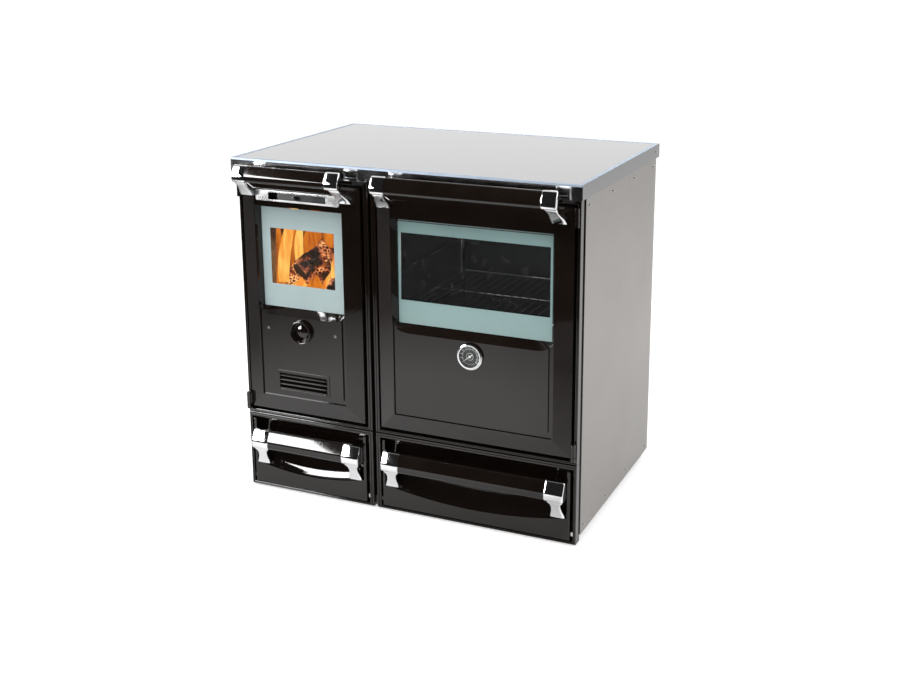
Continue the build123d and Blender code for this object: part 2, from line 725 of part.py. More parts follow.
with BuildPart() as firebox_door_panel:
    add(door_leaf(fire_leaf))
    pin((air_axis_x, ridge_plane, air_knob_height), (air_axis_x, face + belly_set, air_knob_height),
        air_cup_radius + air_cup_clearance, Mode.SUBTRACT)
    sheet_cut(ridge_plane, leaf_wall, grow(grille_x, -grille_border), grow(grille_z, -grille_border))
    sheet_cut(ridge_plane, slider_pocket, pocket_x, pocket_z)
    sheet_cut(ridge_plane, ridge_set + leaf_back_set, grow(port_x, -1.0),
              about(air_plate_centre, air_slot_height))
    for screw_x in door_screw_x:
        pin((screw_x, ridge_plane, air_knob_height), (screw_x, ridge_plane + leaf_wall, air_knob_height),
            screw_radius + screw_clearance, Mode.SUBTRACT)
firebox_door_panel.part.label = "firebox_door_panel"
export_step(firebox_door_panel.part, "parts/firebox_door_panel.step")

probe_z = glass_pane_bottom - oven_leaf.lip_fall - bezel_radius - bezel_gap
with BuildPart() as oven_door_panel:
    add(door_leaf(oven_leaf))
    pin((oven_centre, ridge_plane, probe_z), (oven_centre, leaf_back, probe_z),
        shaft_radius + screw_clearance, Mode.SUBTRACT)
oven_door_panel.part.label = "oven_door_panel"
export_step(oven_door_panel.part, "parts/oven_door_panel.step")


# ---------------------------------------------------------------- what lines, glazes and seals a door
def door_liner(leaf):
    """Sheet liner on the leaf's back: a window, and two ribs that hold the rope seal between them."""
    liner_x = grow(leaf.x, -liner_inset)
    liner_z = grow(leaf_z, -liner_inset)
    seal = gasket_inset - liner_inset
    with BuildPart() as liner:
        with BuildSketch(upright(leaf_back)):
            cell(liner_x, liner_z, corner=6.0)
            cell(grow(leaf.pane_x, glass_margin + 2), (glass_pane_bottom - glass_margin - 2,
                 leaf.pane_top + glass_margin + 2), Mode.SUBTRACT)
        extrude(amount=-liner_thickness)
        for gap in (seal - slide_gap - liner_thickness, seal + gasket_width + slide_gap):
            with BuildSketch(upright(leaf_back + liner_thickness)) as rib:
                cell(grow(liner_x, -gap), grow(liner_z, -gap))
                cell(grow(liner_x, -gap - liner_thickness), grow(liner_z, -gap - liner_thickness),
                     Mode.SUBTRACT)
            extrude(rib.sketch, amount=-3 * liner_thickness, mode=Mode.ADD)
    return liner.part


def rope_seal(leaf):
    """Rope seal in the liner's channel, a hair ahead of the face plate behind the door."""
    seal_x = grow(leaf.x, -gasket_inset)
    seal_z = grow(leaf_z, -gasket_inset)
    with BuildPart() as seal:
        with BuildSketch(upright(leaf_back + liner_thickness)):
            cell(seal_x, seal_z, corner=4.0)
            cell(grow(seal_x, -gasket_width), grow(seal_z, -gasket_width), Mode.SUBTRACT)
        extrude(amount=-(inside - gasket_gap - leaf_back - liner_thickness))
        fillet(seal.faces().sort_by(Axis.Y)[-1].edges(), radius=3.5)
    return seal.part


def pane(leaf):
    """Ceramic glass pane in the leaf's rebate."""
    with BuildPart() as glass:
        with BuildSketch(upright(glass_plane)):
            cell(grow(leaf.pane_x, glass_margin - 1), (glass_pane_bottom - glass_margin + 1,
                 leaf.pane_top + glass_margin - 1))
        extrude(amount=-glass_thickness)
    return glass.part


def glass_clips(leaf):
    """Folded clips that hold the pane from behind, two above it and two below it."""
    glass_back = glass_plane + glass_thickness
    with BuildPart() as clips:
        for side in (-1, 1):
            for edge, out in ((glass_pane_bottom - glass_margin, -1), (leaf.pane_top + glass_margin, 1)):
                clip_x = about(leaf.centre + side * leaf.pane_half * 0.6, clip_width)
                foot = sorted((edge - out * clip_lap, edge - out * 1.0))
                tab = sorted((edge - out * clip_lap, edge + out * 1.5))
                block(clip_x, (glass_back, leaf_back), foot)
                block(clip_x, (leaf_back, leaf_back + liner_thickness), tab)
    return clips.part


with BuildPart() as firebox_door_liner:
    add(door_liner(fire_leaf))
    pin((air_axis_x, leaf_back, air_knob_height), (air_axis_x, leaf_back + liner_thickness, air_knob_height),
        shaft_radius + shaft_clearance, Mode.SUBTRACT)
    for side in (-1, 1):
        port_at = air_axis_x + side * shutter_port_pitch
        pin((port_at, leaf_back, air_knob_height), (port_at, leaf_back + liner_thickness, air_knob_height),
            shutter_port_radius, Mode.SUBTRACT)
firebox_door_liner.part.label = "firebox_door_liner"
export_step(firebox_door_liner.part, "parts/firebox_door_liner.step")

with BuildPart() as oven_door_liner:
    add(door_liner(oven_leaf))
    pin((oven_centre, leaf_back, probe_z), (oven_centre, leaf_back + liner_thickness, probe_z),
        shaft_radius + screw_clearance, Mode.SUBTRACT)
oven_door_liner.part.label = "oven_door_liner"
export_step(oven_door_liner.part, "parts/oven_door_liner.step")

with BuildPart() as firebox_door_gasket:
    add(rope_seal(fire_leaf))
firebox_door_gasket.part.label = "firebox_door_gasket"
export_step(firebox_door_gasket.part, "parts/firebox_door_gasket.step")

with BuildPart() as oven_door_gasket:
    add(rope_seal(oven_leaf))
oven_door_gasket.part.label = "oven_door_gasket"
export_step(oven_door_gasket.part, "parts/oven_door_gasket.step")

with BuildPart() as firebox_glass:
    add(pane(fire_leaf))
firebox_glass.part.label = "firebox_glass"
export_step(firebox_glass.part, "parts/firebox_glass.step")

with BuildPart() as oven_glass:
    add(pane(oven_leaf))
oven_glass.part.label = "oven_glass"
export_step(oven_glass.part, "parts/oven_glass.step")

with BuildPart() as firebox_glass_clips:
    add(glass_clips(fire_leaf))
firebox_glass_clips.part.label = "firebox_glass_clips"
export_step(firebox_glass_clips.part, "parts/firebox_glass_clips.step")

with BuildPart() as oven_glass_clips:
    add(glass_clips(oven_leaf))
oven_glass_clips.part.label = "oven_glass_clips"
export_step(oven_glass_clips.part, "parts/oven_glass_clips.step")

with BuildPart() as firebox_hinge_knuckles:
    add(hinge_knuckles(-1, fire_leaf_x[0]))
firebox_hinge_knuckles.part.label = "firebox_hinge_knuckles"
export_step(firebox_hinge_knuckles.part, "parts/firebox_hinge_knuckles.step")

with BuildPart() as oven_hinge_knuckles:
    add(hinge_knuckles(1, oven_leaf_x[1]))
oven_hinge_knuckles.part.label = "oven_hinge_knuckles"
export_step(oven_hinge_knuckles.part, "parts/oven_hinge_knuckles.step")

# ---------------------------------------------------------------- firebox door's air controls
with BuildPart() as air_plate:
    with BuildSketch(upright(ridge_plane)):
        cell(about(air_axis_x, air_plate_width), air_plate_z, corner=6.0)
        cell(slot_x, about(air_plate_centre, air_slot_height), Mode.SUBTRACT, corner=3.0)
    extrude(amount=air_plate_thickness)
    fillet(air_plate.faces().sort_by(Axis.Y)[0].outer_wire().edges(), radius=0.8)
air_plate.part.label = "air_plate"
export_step(air_plate.part, "parts/air_plate.step")

with BuildPart() as air_slider:
    with BuildSketch(upright(ridge_plane + slider_gap + slider_thickness)):
        cell(slider_x, about(air_plate_centre, slider_height))
    extrude(amount=slider_thickness)
    grip_x = air_axis_x - 4.0
    pin((grip_x, ridge_plane + slider_gap, air_plate_centre), (grip_x, ridge_plane - 4.0, air_plate_centre),
        3.0)
    pin((grip_x, ridge_plane - 4.0, air_plate_centre), (grip_x, ridge_plane - 11.0, air_plate_centre),
        slider_knob_radius)
    fillet(air_slider.faces().sort_by(Axis.Y)[0].edges(), radius=2.0)
air_slider.part.label = "air_slider"
export_step(air_slider.part, "parts/air_slider.step")

cup_floor = ridge_plane + leaf_wall
with BuildPart() as air_knob:
    with BuildSketch(Plane(origin=(air_axis_x, 0, air_knob_height), x_dir=(1, 0, 0),
                           z_dir=(0, 0, 1))) as section:
        with BuildLine():
            Polyline((0, cup_floor), (air_cup_radius, cup_floor), (air_cup_radius, ridge_plane - slide_gap),
                     (air_knob_radius, ridge_plane - slide_gap), (air_knob_radius - 1.0, ridge_plane - 8.0))
            ThreePointArc((air_knob_radius - 1.0, ridge_plane - 8.0),
                          (air_knob_radius - 3.2, ridge_plane - 10.8),
                          (air_knob_radius - 5.5, ridge_plane - 8.5))
            Line((air_knob_radius - 5.5, ridge_plane - 8.5), (air_cup_radius - 3.5, cup_floor - 3.5))
            Line((air_cup_radius - 3.5, cup_floor - 3.5), (air_cup_radius - 5.0, cup_floor - 3.5))
            TangentArc((0, cup_floor - 10.5), (air_cup_radius - 5.0, cup_floor - 3.5), tangent=(1, 0))
            Line((0, cup_floor - 10.5), (0, cup_floor))
        make_face()
    revolve(section.sketch, axis=Axis((air_axis_x, 0, air_knob_height), (0, 1, 0)))
air_knob.part.label = "air_knob"
export_step(air_knob.part, "parts/air_knob.step")

shutter_back = leaf_back - slide_gap
with BuildPart() as air_shutter:
    pin((air_axis_x, cup_floor, air_knob_height), (air_axis_x, leaf_back + liner_thickness + 2,
                                                   air_knob_height),
        shaft_radius)
    pin((air_axis_x, shutter_back - shutter_thickness, air_knob_height),
        (air_axis_x, shutter_back, air_knob_height),
        shutter_radius)
    for side in (-1, 1):
        hole_at = air_axis_x + side * shutter_port_pitch
        pin((hole_at, shutter_back - shutter_thickness, air_knob_height),
            (hole_at, shutter_back, air_knob_height),
            shutter_port_radius, Mode.SUBTRACT)
air_shutter.part.label = "air_shutter"
export_step(air_shutter.part, "parts/air_shutter.step")

# Vent grille: a shallow frame with slanted louvres behind it
louvre_pitch = (grille_height - 2 * grille_border) / grille_bars
with BuildPart() as vent_grille:
    with BuildSketch(upright(ridge_plane)):
        cell(grille_x, grille_z, corner=2.0)
        cell(grow(grille_x, -grille_border - 1.0), grow(grille_z, -grille_border - 1.0), Mode.SUBTRACT)
    extrude(amount=1.5)
    with BuildSketch(upright(ridge_plane)) as sleeve:
        cell(grow(grille_x, -grille_border - 0.3), grow(grille_z, -grille_border - 0.3))
        cell(grow(grille_x, -grille_border - 2.0), grow(grille_z, -grille_border - 2.0), Mode.SUBTRACT)
    extrude(sleeve.sketch, amount=-leaf_wall)
    with BuildSketch(Plane.YZ.offset(grille_x[0] + grille_border + 1.0)) as louvre:
        for bar in range(grille_bars):
            with Locations(Location((ridge_plane + 1.5,
                                     grille_z[0] + grille_border + louvre_pitch * (bar + 0.5)), 35)):
                Rectangle(9.0, 2.0)
    extrude(louvre.sketch, amount=grille_width - 2 * grille_border - 2.0)
vent_grille.part.label = "vent_grille"
export_step(vent_grille.part, "parts/vent_grille.step")

with BuildPart() as firebox_door_screws:
    for screw_x in door_screw_x:
        screw((screw_x, ridge_plane, air_knob_height), (0, -1, 0), leaf_wall)
firebox_door_screws.part.label = "firebox_door_screws"
export_step(firebox_door_screws.part, "parts/firebox_door_screws.step")


# ---------------------------------------------------------------- oven thermometer
def dial_section():
    """Upright half plane through the thermometer's axis: x is the radius, y the depth."""
    return Plane(origin=(oven_centre, 0, probe_z), x_dir=(1, 0, 0), z_dir=(0, 0, 1))


dial_axis = Axis((oven_centre, 0, probe_z), (0, 1, 0))
bezel_front = ridge_plane - bezel_depth
lens_front = bezel_front + 0.6
dial_front = lens_front + lens_thickness + 3.2
with BuildPart() as thermometer_case:
    with BuildSketch(dial_section()) as section:
        with BuildLine():
            Polyline((0, leaf_back + probe_length), (shaft_radius, leaf_back + probe_length),
                     (shaft_radius, ridge_plane), (bezel_radius, ridge_plane), (bezel_radius, bezel_front + 3.0))
            RadiusArc((bezel_radius, bezel_front + 3.0), (bezel_radius - 3.0, bezel_front), -3.0)
            Polyline((bezel_radius - 3.0, bezel_front), (dial_radius - 1.5, bezel_front),
                     (dial_radius - 1.5, lens_front),
                     (dial_radius + 0.1, lens_front), (dial_radius + 0.1, dial_front + dial_thickness),
                     (0, dial_front + dial_thickness), (0, leaf_back + probe_length))
        make_face()
    revolve(section.sketch, axis=dial_axis)
thermometer_case.part.label = "thermometer_case"
export_step(thermometer_case.part, "parts/thermometer_case.step")

with BuildPart() as thermometer_dial:
    pin((oven_centre, dial_front + dial_thickness, probe_z), (oven_centre, dial_front, probe_z), dial_radius)
thermometer_dial.part.label = "thermometer_dial"
export_step(thermometer_dial.part, "parts/thermometer_dial.step")

needle_turn = radians(needle_rest)
needle_plane = Plane(origin=(oven_centre, dial_front - 0.8, probe_z),
                     x_dir=(cos(needle_turn), 0, sin(needle_turn)),
                     z_dir=(0, -1, 0))
with BuildPart() as thermometer_needle:
    with BuildSketch(needle_plane) as pointer:
        Circle(3.0)
        with BuildLine():
            Polyline((-1.1, -needle_tail), (1.1, -needle_tail), (0.4, needle_length), (-0.4, needle_length),
                     close=True)
        make_face()
    extrude(pointer.sketch, amount=0.6)
    pin((oven_centre, dial_front - 0.1, probe_z), (oven_centre, dial_front - 0.8, probe_z), 1.2)
thermometer_needle.part.label = "thermometer_needle"
export_step(thermometer_needle.part, "parts/thermometer_needle.step")

with BuildPart() as thermometer_lens:
    pin((oven_centre, lens_front + lens_thickness, probe_z), (oven_centre, lens_front, probe_z), dial_radius)
thermometer_lens.part.label = "thermometer_lens"
export_step(thermometer_lens.part, "parts/thermometer_lens.step")


# ---------------------------------------------------------------- drawer fronts
@dataclass(frozen=True)
class Front:
    """One drawer front: its side edges and the curve of the scoop's lower edge."""

    x: tuple
    smile_height: float
    smile_sag: float

    @property
    def centre(self):
        return middle(self.x)

    @property
    def scoop_half(self):
        return width(self.x) / 2 - drawer_rim

    @property
    def smile_z(self):
        return front_z[0] + self.smile_height

    @property
    def turn_radius(self):
        return (self.scoop_half ** 2 + self.smile_sag ** 2) / (2 * self.smile_sag)

    @property
    def turn_axis(self):
        return Axis((self.centre, 0, self.smile_z + self.turn_radius), (0, 1, 0))

    @property
    def turn_reach(self):
        """Angle that takes the turned section past the end of the scoop."""
        return 2 * degrees(asin(self.scoop_half / self.turn_radius))


left_front = Front(left_front_x, left_smile_height, left_smile_sag)
right_front = Front(right_front_x, right_smile_height, right_smile_sag)
drawer_face = face - drawer_face_set


def scoop(front, swell, half):
    """Space of the scoop behind the bar, grown by swell: a quarter ellipse turned about a far axis."""
    rise = front_z[1] - front.smile_z
    with BuildPart() as hollow:
        with BuildSketch(Plane.YZ.offset(front.centre)) as section:
            with BuildLine():
                EllipticalCenterArc((drawer_face, front_z[1]), scoop_depth + swell, rise + swell, 270,
                                    arc_size=90)
                Polyline((drawer_face + scoop_depth + swell, front_z[1]),
                         (drawer_face + scoop_depth + swell, front_z[1] + rise),
                         (drawer_face, front_z[1] + rise), (drawer_face, front_z[1] - rise - swell))
            make_face()
        for way in (1, -1):
            revolve(section.sketch, axis=front.turn_axis, revolution_arc=way * front.turn_reach)
        with BuildSketch(upright(drawer_face)) as window:
            cell(about(front.centre, 2 * half), (front_z[0] + drawer_rim - 2, front_z[1]))
        extrude(window.sketch, amount=-scoop_depth - swell, mode=Mode.INTERSECT)
    return hollow.part


def drawer_front(front):
    """Drawer front: a flat rimmed slab, hollowed behind the bar by a scoop whose lower edge is an arc."""
    shell = scoop(front, scoop_wall, front.scoop_half + scoop_end_wall)
    hollow = scoop(front, 0.0, front.scoop_half)
    back = drawer_face + scoop_depth + scoop_wall
    with BuildPart() as body:
        with BuildSketch(upright(drawer_face)):
            cell(front.x, front_z)
        extrude(amount=-drawer_slab)
        fillet(body.faces().sort_by(Axis.Y)[0].edges(), radius=2.0)
        for side in (-1, 1):
            rib_at = front.centre + side * front.scoop_half * 0.75
            block(about(rib_at, 5.0), (drawer_face + drawer_slab, back),
                  (runner_top + slide_gap, runner_top + drawer_box_height))
        add(shell)
        add(hollow, mode=Mode.SUBTRACT)
    return body.part


with BuildPart() as left_drawer_front:
    add(drawer_front(left_front))
left_drawer_front.part.label = "left_drawer_front"
export_step(left_drawer_front.part, "parts/left_drawer_front.step")

with BuildPart() as right_drawer_front:
    add(drawer_front(right_front))
right_drawer_front.part.label = "right_drawer_front"
export_step(right_drawer_front.part, "parts/right_drawer_front.step")

drawer_box_y = (drawer_face + scoop_depth + scoop_wall,
                drawer_face + scoop_depth + scoop_wall + drawer_box_length)
drawer_box_z = (runner_top + slide_gap, runner_top + slide_gap + drawer_box_height)


def drawer_box(front):
    """Open sheet tray behind a drawer front."""
    box_x = grow(front.x, -drawer_side_play)
    with BuildPart() as box:
        block(box_x, drawer_box_y, drawer_box_z)
        block(grow(box_x, -drawer_sheet), grow(drawer_box_y, -drawer_sheet),
              (drawer_box_z[0] + drawer_sheet, drawer_box_z[1]), Mode.SUBTRACT)
    return box.part


with BuildPart() as left_drawer_box:
    add(drawer_box(left_front))
left_drawer_box.part.label = "left_drawer_box"
export_step(left_drawer_box.part, "parts/left_drawer_box.step")

with BuildPart() as right_drawer_box:
    add(drawer_box(right_front))
right_drawer_box.part.label = "right_drawer_box"
export_step(right_drawer_box.part, "parts/right_drawer_box.step")

runner_y = (inside + angle_wall, back_plane)
runner_z = (runner_top - runner_height / 2, runner_top + runner_height / 2)
with BuildPart() as drawer_runners:
    runner_walls = ((-carcass_half + angle_wall, 1, left_front_x[0]),
                    (middle_post_x[0], -1, left_front_x[1]),
                    (middle_post_x[1], 1, right_front_x[0]), (carcass_half - angle_wall, -1, right_front_x[1]))
    for wall, out, front_edge in runner_walls:
        lap = front_edge + out * (drawer_side_play + 10.0)
        block(sorted((wall, wall + out * runner_thickness)), runner_y, runner_z)
        block(sorted((wall, lap)), (runner_y[0] + rail_flange, runner_y[1]),
              (runner_top - runner_thickness, runner_top))
drawer_runners.part.label = "drawer_runners"
export_step(drawer_runners.part, "parts/drawer_runners.step")


# ---------------------------------------------------------------- handles
def handle_bar(cap_centres, cap_length, y, z):
    """Bar between two caps; its ends sit in the caps' sockets."""
    ends = (cap_centres[0] + cap_length / 2 - cap_socket, cap_centres[1] - cap_length / 2 + cap_socket)
    with BuildPart() as bar:
        with BuildSketch(Plane.YZ.offset(ends[0])):
            with Locations((y, z)):
                RectangleRounded(bar_depth, bar_height, bar_corner)
        extrude(amount=width(ends))
    return bar.part


def handle_brackets(cap_centres, cap_length, y, z, arm_steps):
    """Two cast brackets: a closed cap on each bar end and an arm that narrows, then flares to its foot."""
    with BuildPart() as brackets:
        for side, cap_x in zip((-1, 1), cap_centres):
            inner = cap_x - side * cap_length / 2
            with BuildSketch(Plane(origin=(inner, 0, 0), x_dir=(0, 1, 0), z_dir=(1, 0, 0))) as cap:
                with Locations((y, z)):
                    RectangleRounded(bar_depth + 2 * cap_wall, bar_height + 2 * cap_wall,
                                     bar_corner + cap_wall)
            extrude(cap.sketch, amount=side * cap_length)
            fillet(brackets.faces().sort_by(Axis.X)[0 if side < 0 else -1].edges(), radius=7.0)
            steps = []
            for shift, step_y, step_z, across, deep, lean in arm_steps:
                plane = Plane(origin=(cap_x + side * shift, step_y, step_z), x_dir=(1, 0, 0), z_dir=lean)
                with BuildSketch(plane) as step:
                    RectangleRounded(across, deep, min(across, deep) * 0.4)
                steps.append(step.sketch)
            loft(steps)
            with BuildSketch(Plane(origin=(inner, 0, 0), x_dir=(0, 1, 0), z_dir=(1, 0, 0))) as socket:
                with Locations((y, z)):
                    RectangleRounded(bar_depth + 2 * socket_clearance, bar_height + 2 * socket_clearance,
                                     bar_corner + socket_clearance)
            extrude(socket.sketch, amount=side * cap_socket, mode=Mode.SUBTRACT)
    return brackets.part


door_bar_y = worktop_front - handle_reach + bar_depth / 2 + cap_wall
door_bar_z = door_frame_z[1] + door_bar_rise
door_foot_z = (leaf_z[1] + ridge_z[1]) / 2 - 18.0
door_foot_shift = door_cap_inset - door_foot_inset
door_arm = (
    (0.0, door_bar_y + 2.0, door_bar_z - 10.0, 30.0, 21.0, (0, 0.15, -0.99)),
    (door_foot_shift * 0.35, door_bar_y + 10.0, door_bar_z - 30.0, 28.0, 15.0, (0, 0.55, -0.83)),
    (door_foot_shift * 0.75, door_bar_y + 27.0, door_bar_z - 44.0, 31.0, 24.0, (0, 0.86, -0.5)),
    (door_foot_shift, ridge_plane, door_foot_z, 38.0, 42.0, (0, 1, 0)),
    (door_foot_shift, edge_plane + 1.0, door_foot_z, 38.0, 42.0, (0, 1, 0)),
)


def door_cap_centres(leaf):
    """Centres of the two caps on a door's bar."""
    return grow(leaf.x, -door_cap_inset)


with BuildPart() as firebox_handle_bar:
    add(handle_bar(door_cap_centres(fire_leaf), door_cap_length, door_bar_y, door_bar_z))
firebox_handle_bar.part.label = "firebox_handle_bar"
export_step(firebox_handle_bar.part, "parts/firebox_handle_bar.step")

with BuildPart() as firebox_handle_brackets:
    add(handle_brackets(door_cap_centres(fire_leaf), door_cap_length, door_bar_y, door_bar_z, door_arm))
    add(firebox_door_panel.part, mode=Mode.SUBTRACT)
firebox_handle_brackets.part.label = "firebox_handle_brackets"
export_step(firebox_handle_brackets.part, "parts/firebox_handle_brackets.step")

with BuildPart() as oven_handle_bar:
    add(handle_bar(door_cap_centres(oven_leaf), door_cap_length, door_bar_y, door_bar_z))
oven_handle_bar.part.label = "oven_handle_bar"
export_step(oven_handle_bar.part, "parts/oven_handle_bar.step")

with BuildPart() as oven_handle_brackets:
    add(handle_brackets(door_cap_centres(oven_leaf), door_cap_length, door_bar_y, door_bar_z, door_arm))
    add(oven_door_panel.part, mode=Mode.SUBTRACT)
oven_handle_brackets.part.label = "oven_handle_brackets"
export_step(oven_handle_brackets.part, "parts/oven_handle_brackets.step")

drawer_bar_y = face - drawer_bar_set
drawer_bar_z = front_z[1] - drawer_bar_height
drawer_foot_shift = drawer_cap_inset - drawer_foot_inset
drawer_arm = (
    (0.0, drawer_bar_y, drawer_bar_z - 10.0, 34.0, 21.0, (0, 0.1, -1)),
    (drawer_foot_shift * 0.3, drawer_bar_y + 3.0, drawer_bar_z - 29.0, 30.0, 16.0, (0, 0.25, -0.97)),
    (drawer_foot_shift * 0.6, drawer_bar_y + 11.0, drawer_bar_z - 41.0, 28.0, 20.0, (0, 0.55, -0.83)),
    (drawer_foot_shift, drawer_face + 1.0, drawer_bar_z - 50.0, 37.0, 40.0, (0, 0.9, -0.45)),
    (drawer_foot_shift, drawer_face + 24.0, drawer_bar_z - 50.0, 39.0, 44.0, (0, 1, 0)),
)


def drawer_cap_centres(front):
    """Centres of the two caps on a drawer's bar."""
    return grow(front.x, -drawer_cap_inset)


def drawer_brackets(front):
    """A drawer's two brackets, their feet cut to the flat face and the scoop that they stand on."""
    hollow = scoop(front, 0.0, front.scoop_half)
    with BuildPart() as ground:
        block(front.x, (drawer_face, drawer_face + 2 * scoop_depth), front_z)
        add(hollow, mode=Mode.SUBTRACT)
    with BuildPart() as brackets:
        add(handle_brackets(drawer_cap_centres(front), drawer_cap_length, drawer_bar_y, drawer_bar_z,
                            drawer_arm))
        add(ground.part, mode=Mode.SUBTRACT)
    return brackets.part


with BuildPart() as left_drawer_handle_bar:
    add(handle_bar(drawer_cap_centres(left_front), drawer_cap_length, drawer_bar_y, drawer_bar_z))
left_drawer_handle_bar.part.label = "left_drawer_handle_bar"
export_step(left_drawer_handle_bar.part, "parts/left_drawer_handle_bar.step")

with BuildPart() as left_drawer_handle_brackets:
    add(drawer_brackets(left_front))
left_drawer_handle_brackets.part.label = "left_drawer_handle_brackets"
export_step(left_drawer_handle_brackets.part, "parts/left_drawer_handle_brackets.step")

with BuildPart() as right_drawer_handle_bar:
    add(handle_bar(drawer_cap_centres(right_front), drawer_cap_length, drawer_bar_y, drawer_bar_z))
right_drawer_handle_bar.part.label = "right_drawer_handle_bar"
export_step(right_drawer_handle_bar.part, "parts/right_drawer_handle_bar.step")

with BuildPart() as right_drawer_handle_brackets:
    add(drawer_brackets(right_front))
right_drawer_handle_brackets.part.label = "right_drawer_handle_brackets"
export_step(right_drawer_handle_brackets.part, "parts/right_drawer_handle_brackets.step")

# ---------------------------------------------------------------- firebox
casing_x = (-carcass_half + post_leg + 1.0, middle_post_x[0] - 1.0)
shell_x = grow(casing_x, -firebox_side_set)
casing_y = (inside, inside + firebox_depth)
mouth_x = grow(fire_leaf_x, -firebox_front_margin)
mouth_z = grow(leaf_z, -firebox_front_margin)
hollow_x = grow(shell_x, -casing_wall)
hollow_y = (inside, casing_y[1] - casing_wall)
firebox_floor = mouth_z[0] - mouth_sill
outlet_y = (casing_y[0] + 40.0, casing_y[1] - 60.0)
outlet_z = (plate_z[1] - duct_room + 2 * casing_wall, plate_z[1] - casing_wall)
ledge_z = (firebox_floor + ledge_rise, firebox_floor + ledge_rise + ledge_thickness)
with BuildPart() as firebox_casing:
    block(shell_x, casing_y, plate_z)
    block(hollow_x, hollow_y, (firebox_floor, plate_z[1] - casing_wall), Mode.SUBTRACT)
    block(hollow_x, hollow_y, (plate_z[0] + casing_wall, firebox_floor - casing_wall), Mode.SUBTRACT)
    block(hollow_x, (inside + face_plate, hollow_y[1]), ledge_z)
    block(grow(hollow_x, -ledge_width), (inside + face_plate + ledge_width, hollow_y[1] - ledge_width),
          ledge_z,
          Mode.SUBTRACT)
    block(casing_x, (inside, inside + face_plate), plate_z)
    block(mouth_x, (inside, inside + face_plate), mouth_z, Mode.SUBTRACT)
    block((hollow_x[1], shell_x[1]), outlet_y, outlet_z, Mode.SUBTRACT)
firebox_casing.part.label = "firebox_casing"
export_step(firebox_casing.part, "parts/firebox_casing.step")

brick_z = (ledge_z[1], plate_z[1] - smoke_space)
brick_joint = 1.0
with BuildPart() as firebricks:
    brick_run = (inside + face_plate + 10.0, hollow_y[1] - brick_thickness - brick_joint)
    for side in (0, 1):
        brick_x = ((hollow_x[0], hollow_x[0] + brick_thickness) if side == 0
                   else (hollow_x[1] - brick_thickness, hollow_x[1]))
        for row in range(3):
            length = (width(brick_run) - 2 * brick_joint) / 3
            start = brick_run[0] + row * (length + brick_joint)
            block(brick_x, (start, start + length), brick_z)
    block(hollow_x, (hollow_y[1] - brick_thickness, hollow_y[1]), brick_z)
firebricks.part.label = "firebricks"
export_step(firebricks.part, "parts/firebricks.step")

grate_x = grow(hollow_x, -brick_thickness - grate_gap)
grate_y = (inside + face_plate + 30.0, hollow_y[1] - brick_thickness - grate_gap)
grate_z = (ledge_z[1], ledge_z[1] + grate_thickness)
grate_count = int(width(grate_x) // (2 * grate_bar))
with BuildPart() as fire_grate:
    with BuildSketch(Plane.XY.offset(grate_z[0])):
        cell(grate_x, grate_y, corner=4.0)
        cell(grow(grate_x, -grate_bar), grow(grate_y, -grate_bar), Mode.SUBTRACT)
        with Locations((middle(grate_x), middle(grate_y))):
            with GridLocations(width(grate_x) / grate_count, 0, grate_count - 1, 1):
                Rectangle(grate_bar * 0.8, width(grate_y) - grate_bar)
    extrude(amount=grate_thickness)
fire_grate.part.label = "fire_grate"
export_step(fire_grate.part, "parts/fire_grate.step")

with BuildPart() as smoke_baffle:
    block(grow(hollow_x, -0.5), (hollow_y[0] + baffle_front_gap, hollow_y[1] - 0.5),
          (brick_z[1], brick_z[1] + baffle_thickness))
smoke_baffle.part.label = "smoke_baffle"
export_step(smoke_baffle.part, "parts/smoke_baffle.step")

pan_x = grow(mouth_x, -ash_pan_inset)
pan_y = (inside + face_plate + 12.0, hollow_y[1] - ash_pan_inset)
pan_z = (firebox_floor, firebox_floor + ash_pan_height)
with BuildPart() as ash_pan:
    block(pan_x, pan_y, pan_z)
    block(grow(pan_x, -ash_pan_wall), grow(pan_y, -ash_pan_wall), (pan_z[0] + ash_pan_wall, pan_z[1]),
          Mode.SUBTRACT)
    block(about(middle(pan_x), 90.0), (pan_y[0] - 10.0, pan_y[0]), (pan_z[1] - ash_pan_wall, pan_z[1]))
ash_pan.part.label = "ash_pan"
export_step(ash_pan.part, "parts/ash_pan.step")

# ---------------------------------------------------------------- oven
cavity_x = about(oven_centre, 2 * oven_cavity_half)
cavity_z = (plate_z[0] + oven_rise, plate_z[1] - duct_room)
cavity_y = (inside, inside + oven_depth)
oven_plate_x = (middle_post_x[1] + 1.0, carcass_half - post_leg - 1.0)
with BuildPart() as oven_box:
    block(grow(cavity_x, oven_wall), (inside, cavity_y[1] + oven_wall), grow(cavity_z, oven_wall))
    block(oven_plate_x, (inside, inside + face_plate), plate_z)
    with BuildSketch(upright(inside)) as cavity:
        cell(cavity_x, cavity_z, corner=12.0)
    extrude(cavity.sketch, amount=-oven_depth, mode=Mode.SUBTRACT)
oven_box.part.label = "oven_box"
export_step(oven_box.part, "parts/oven_box.step")

